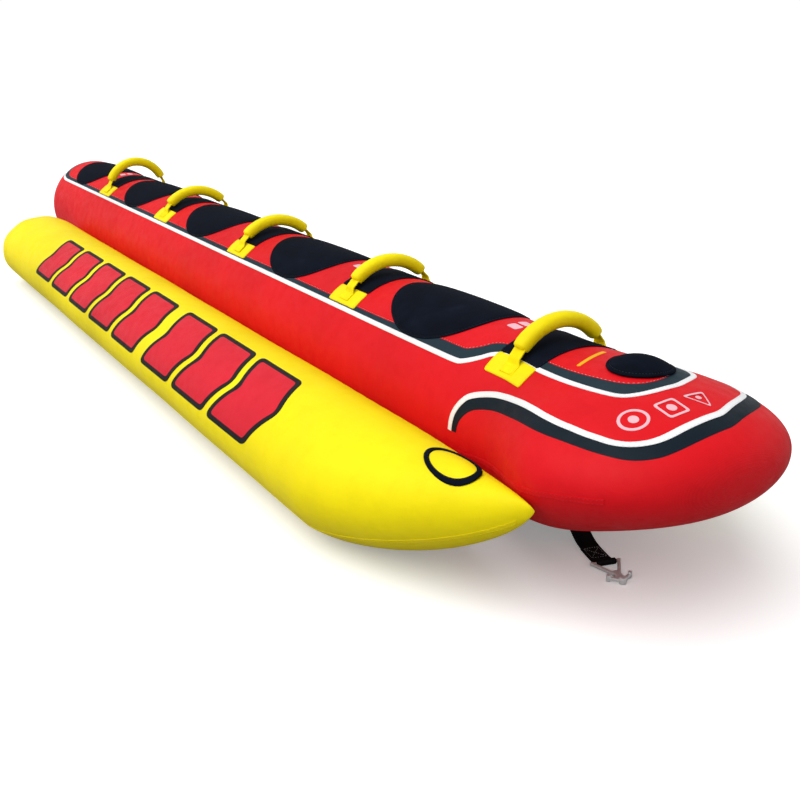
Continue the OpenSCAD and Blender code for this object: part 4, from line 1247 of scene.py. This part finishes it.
def graphics():
    cells = []
    x, point, gap = -0.955, 0.078, 0.046
    for k in range(8):
        body = 0.205 + 0.004 * k
        if k == 5:
            x += 0.045
        cells.append((x, body + point, 0.200 + 0.006 * min(k, 5)))
        x += body + gap
    for side, flip in SIDES:
        for k, (x, length, height) in enumerate(cells):
            shape = chevron(x + length / 2, -0.130, length, height, point)
            for tag, grow, radius, material, low, high in (("edge", 0.007, 0.026, print_black, 0.0001, 0.0007),
                                                           ("fill", -0.010, 0.014, print_red, 0.0004, 0.0011)):
                printed(f"{side}_mark_{k + 1}_{tag}", on_pontoon, rounded(grown(shape, grow), radius), material,
                        flip=flip, low=low, high=high)
    # two short slanted bars on the deck behind each handle
    for i, x in enumerate(HANDLE_X):
        for k, v in enumerate((-0.020, 0.014)):
            shape = [(x - 0.158, v - 0.010), (x - 0.118, v - 0.014), (x - 0.114, v + 0.010), (x - 0.154, v + 0.014)]
            printed(f"deck_mark_{i + 1}_{k + 1}", on_tube, rounded(shape, 0.005), print_pink, step=0.008)
    # a plain dash between the front handle and the valve cover
    dash = rounded([(1.783, 0.030), (1.814, -0.060), (1.822, -0.056), (1.792, 0.034)], 0.003)
    printed("nose_dash", on_tube, dash, print_amber, step=0.005)
    # three plain outline marks on the nose, each round a dot: a ring, a square and a triangle
    marks = [((2.060, -0.140), oval((0, 0), (0.030, 0.034), 40), 0.011, 0),
             ((2.075, -0.052), rounded(rectangle(-0.026, 0.026, -0.028, 0.028), 0.008), 0.011, 0),
             ((2.078, 0.030), rounded([(-0.026, -0.030), (0.028, 0.0), (-0.026, 0.030)], 0.008), 0.0065, 0.0085)]
    place = over(deck_height)
    for k, (centre, shape, size, back) in enumerate(marks):
        printed(f"nose_mark_{k + 1}", place, shape + centre, print_pink, step=0.006, hole=shape * 0.80 + centre)
        dot = oval((centre[0] - back, centre[1]), (size, size), 24)
        printed(f"nose_mark_{k + 1}_dot", place, dot, print_pink, step=0.005)


# ---------------------------------------------------------------- carried-over CAD nodes


def carried_over():
    wear = {"valve_body": valve_plastic, "valve_cap": valve_plastic, "valve_membrane": valve_rubber,
            "bladder": pvc_skin, "eyelet": cast_metal}
    for name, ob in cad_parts.items():
        for key, material in wear.items():
            if key in name:
                ob.data.materials.clear()
                ob.data.materials.append(material)


# ---------------------------------------------------------------- floor and light

FLOOR_HALF = 40.0
SUN_FROM, SUN_POWER, SUN_ANGLE = (-0.05, -0.55, 0.83), 2.35, 70
WORLD_LOW, WORLD_TOP = 1.02, 0.55  # strength near the horizon and above it
WORLD_FADE = (0.03, 0.14)


def stage():
    mesh = bpy.data.meshes.new("floor")
    corners = rectangle(-FLOOR_HALF, FLOOR_HALF, -FLOOR_HALF, FLOOR_HALF)
    mesh.from_pydata([(x, y, 0) for x, y in corners], [], [(0, 1, 2, 3)])
    mesh.materials.append(floor_material())
    floor = add_object("floor", mesh)
    world = bpy.data.worlds.new("studio")
    world.use_nodes = True
    tree = world.node_tree
    at = tree.nodes.new("ShaderNodeTexCoord")
    split = tree.nodes.new("ShaderNodeSeparateXYZ")
    fade = tree.nodes.new("ShaderNodeMapRange")
    for name, value in zip(("From Min", "From Max", "To Min", "To Max"), (*WORLD_FADE, WORLD_LOW, WORLD_TOP)):
        fade.inputs[name].default_value = value
    tree.links.new(at.outputs["Generated"], split.inputs[0])
    tree.links.new(split.outputs["Z"], fade.inputs["Value"])
    tree.links.new(fade.outputs["Result"], tree.nodes["Background"].inputs["Strength"])
    tree.nodes["Background"].inputs["Color"].default_value = (1, 1, 1, 1)
    scene.world = world
    data = bpy.data.lights.new("sun", "SUN")
    data.energy, data.angle = SUN_POWER, math.radians(SUN_ANGLE)
    add_object("sun", data).rotation_euler = Vector(SUN_FROM).to_track_quat("Z", "Y").to_euler()


make_camera()
stage()
covers()
seams()
bands()
for index in range(5):
    seat_pad(index)
    patches_and_guard(index)
    handle(index)
flaps()
valve_details()
tow_strap()
cast_hook()
tow_patch()
join_webs()
zip_closure()
graphics()
carried_over()
scene.view_settings.view_transform = "Standard"
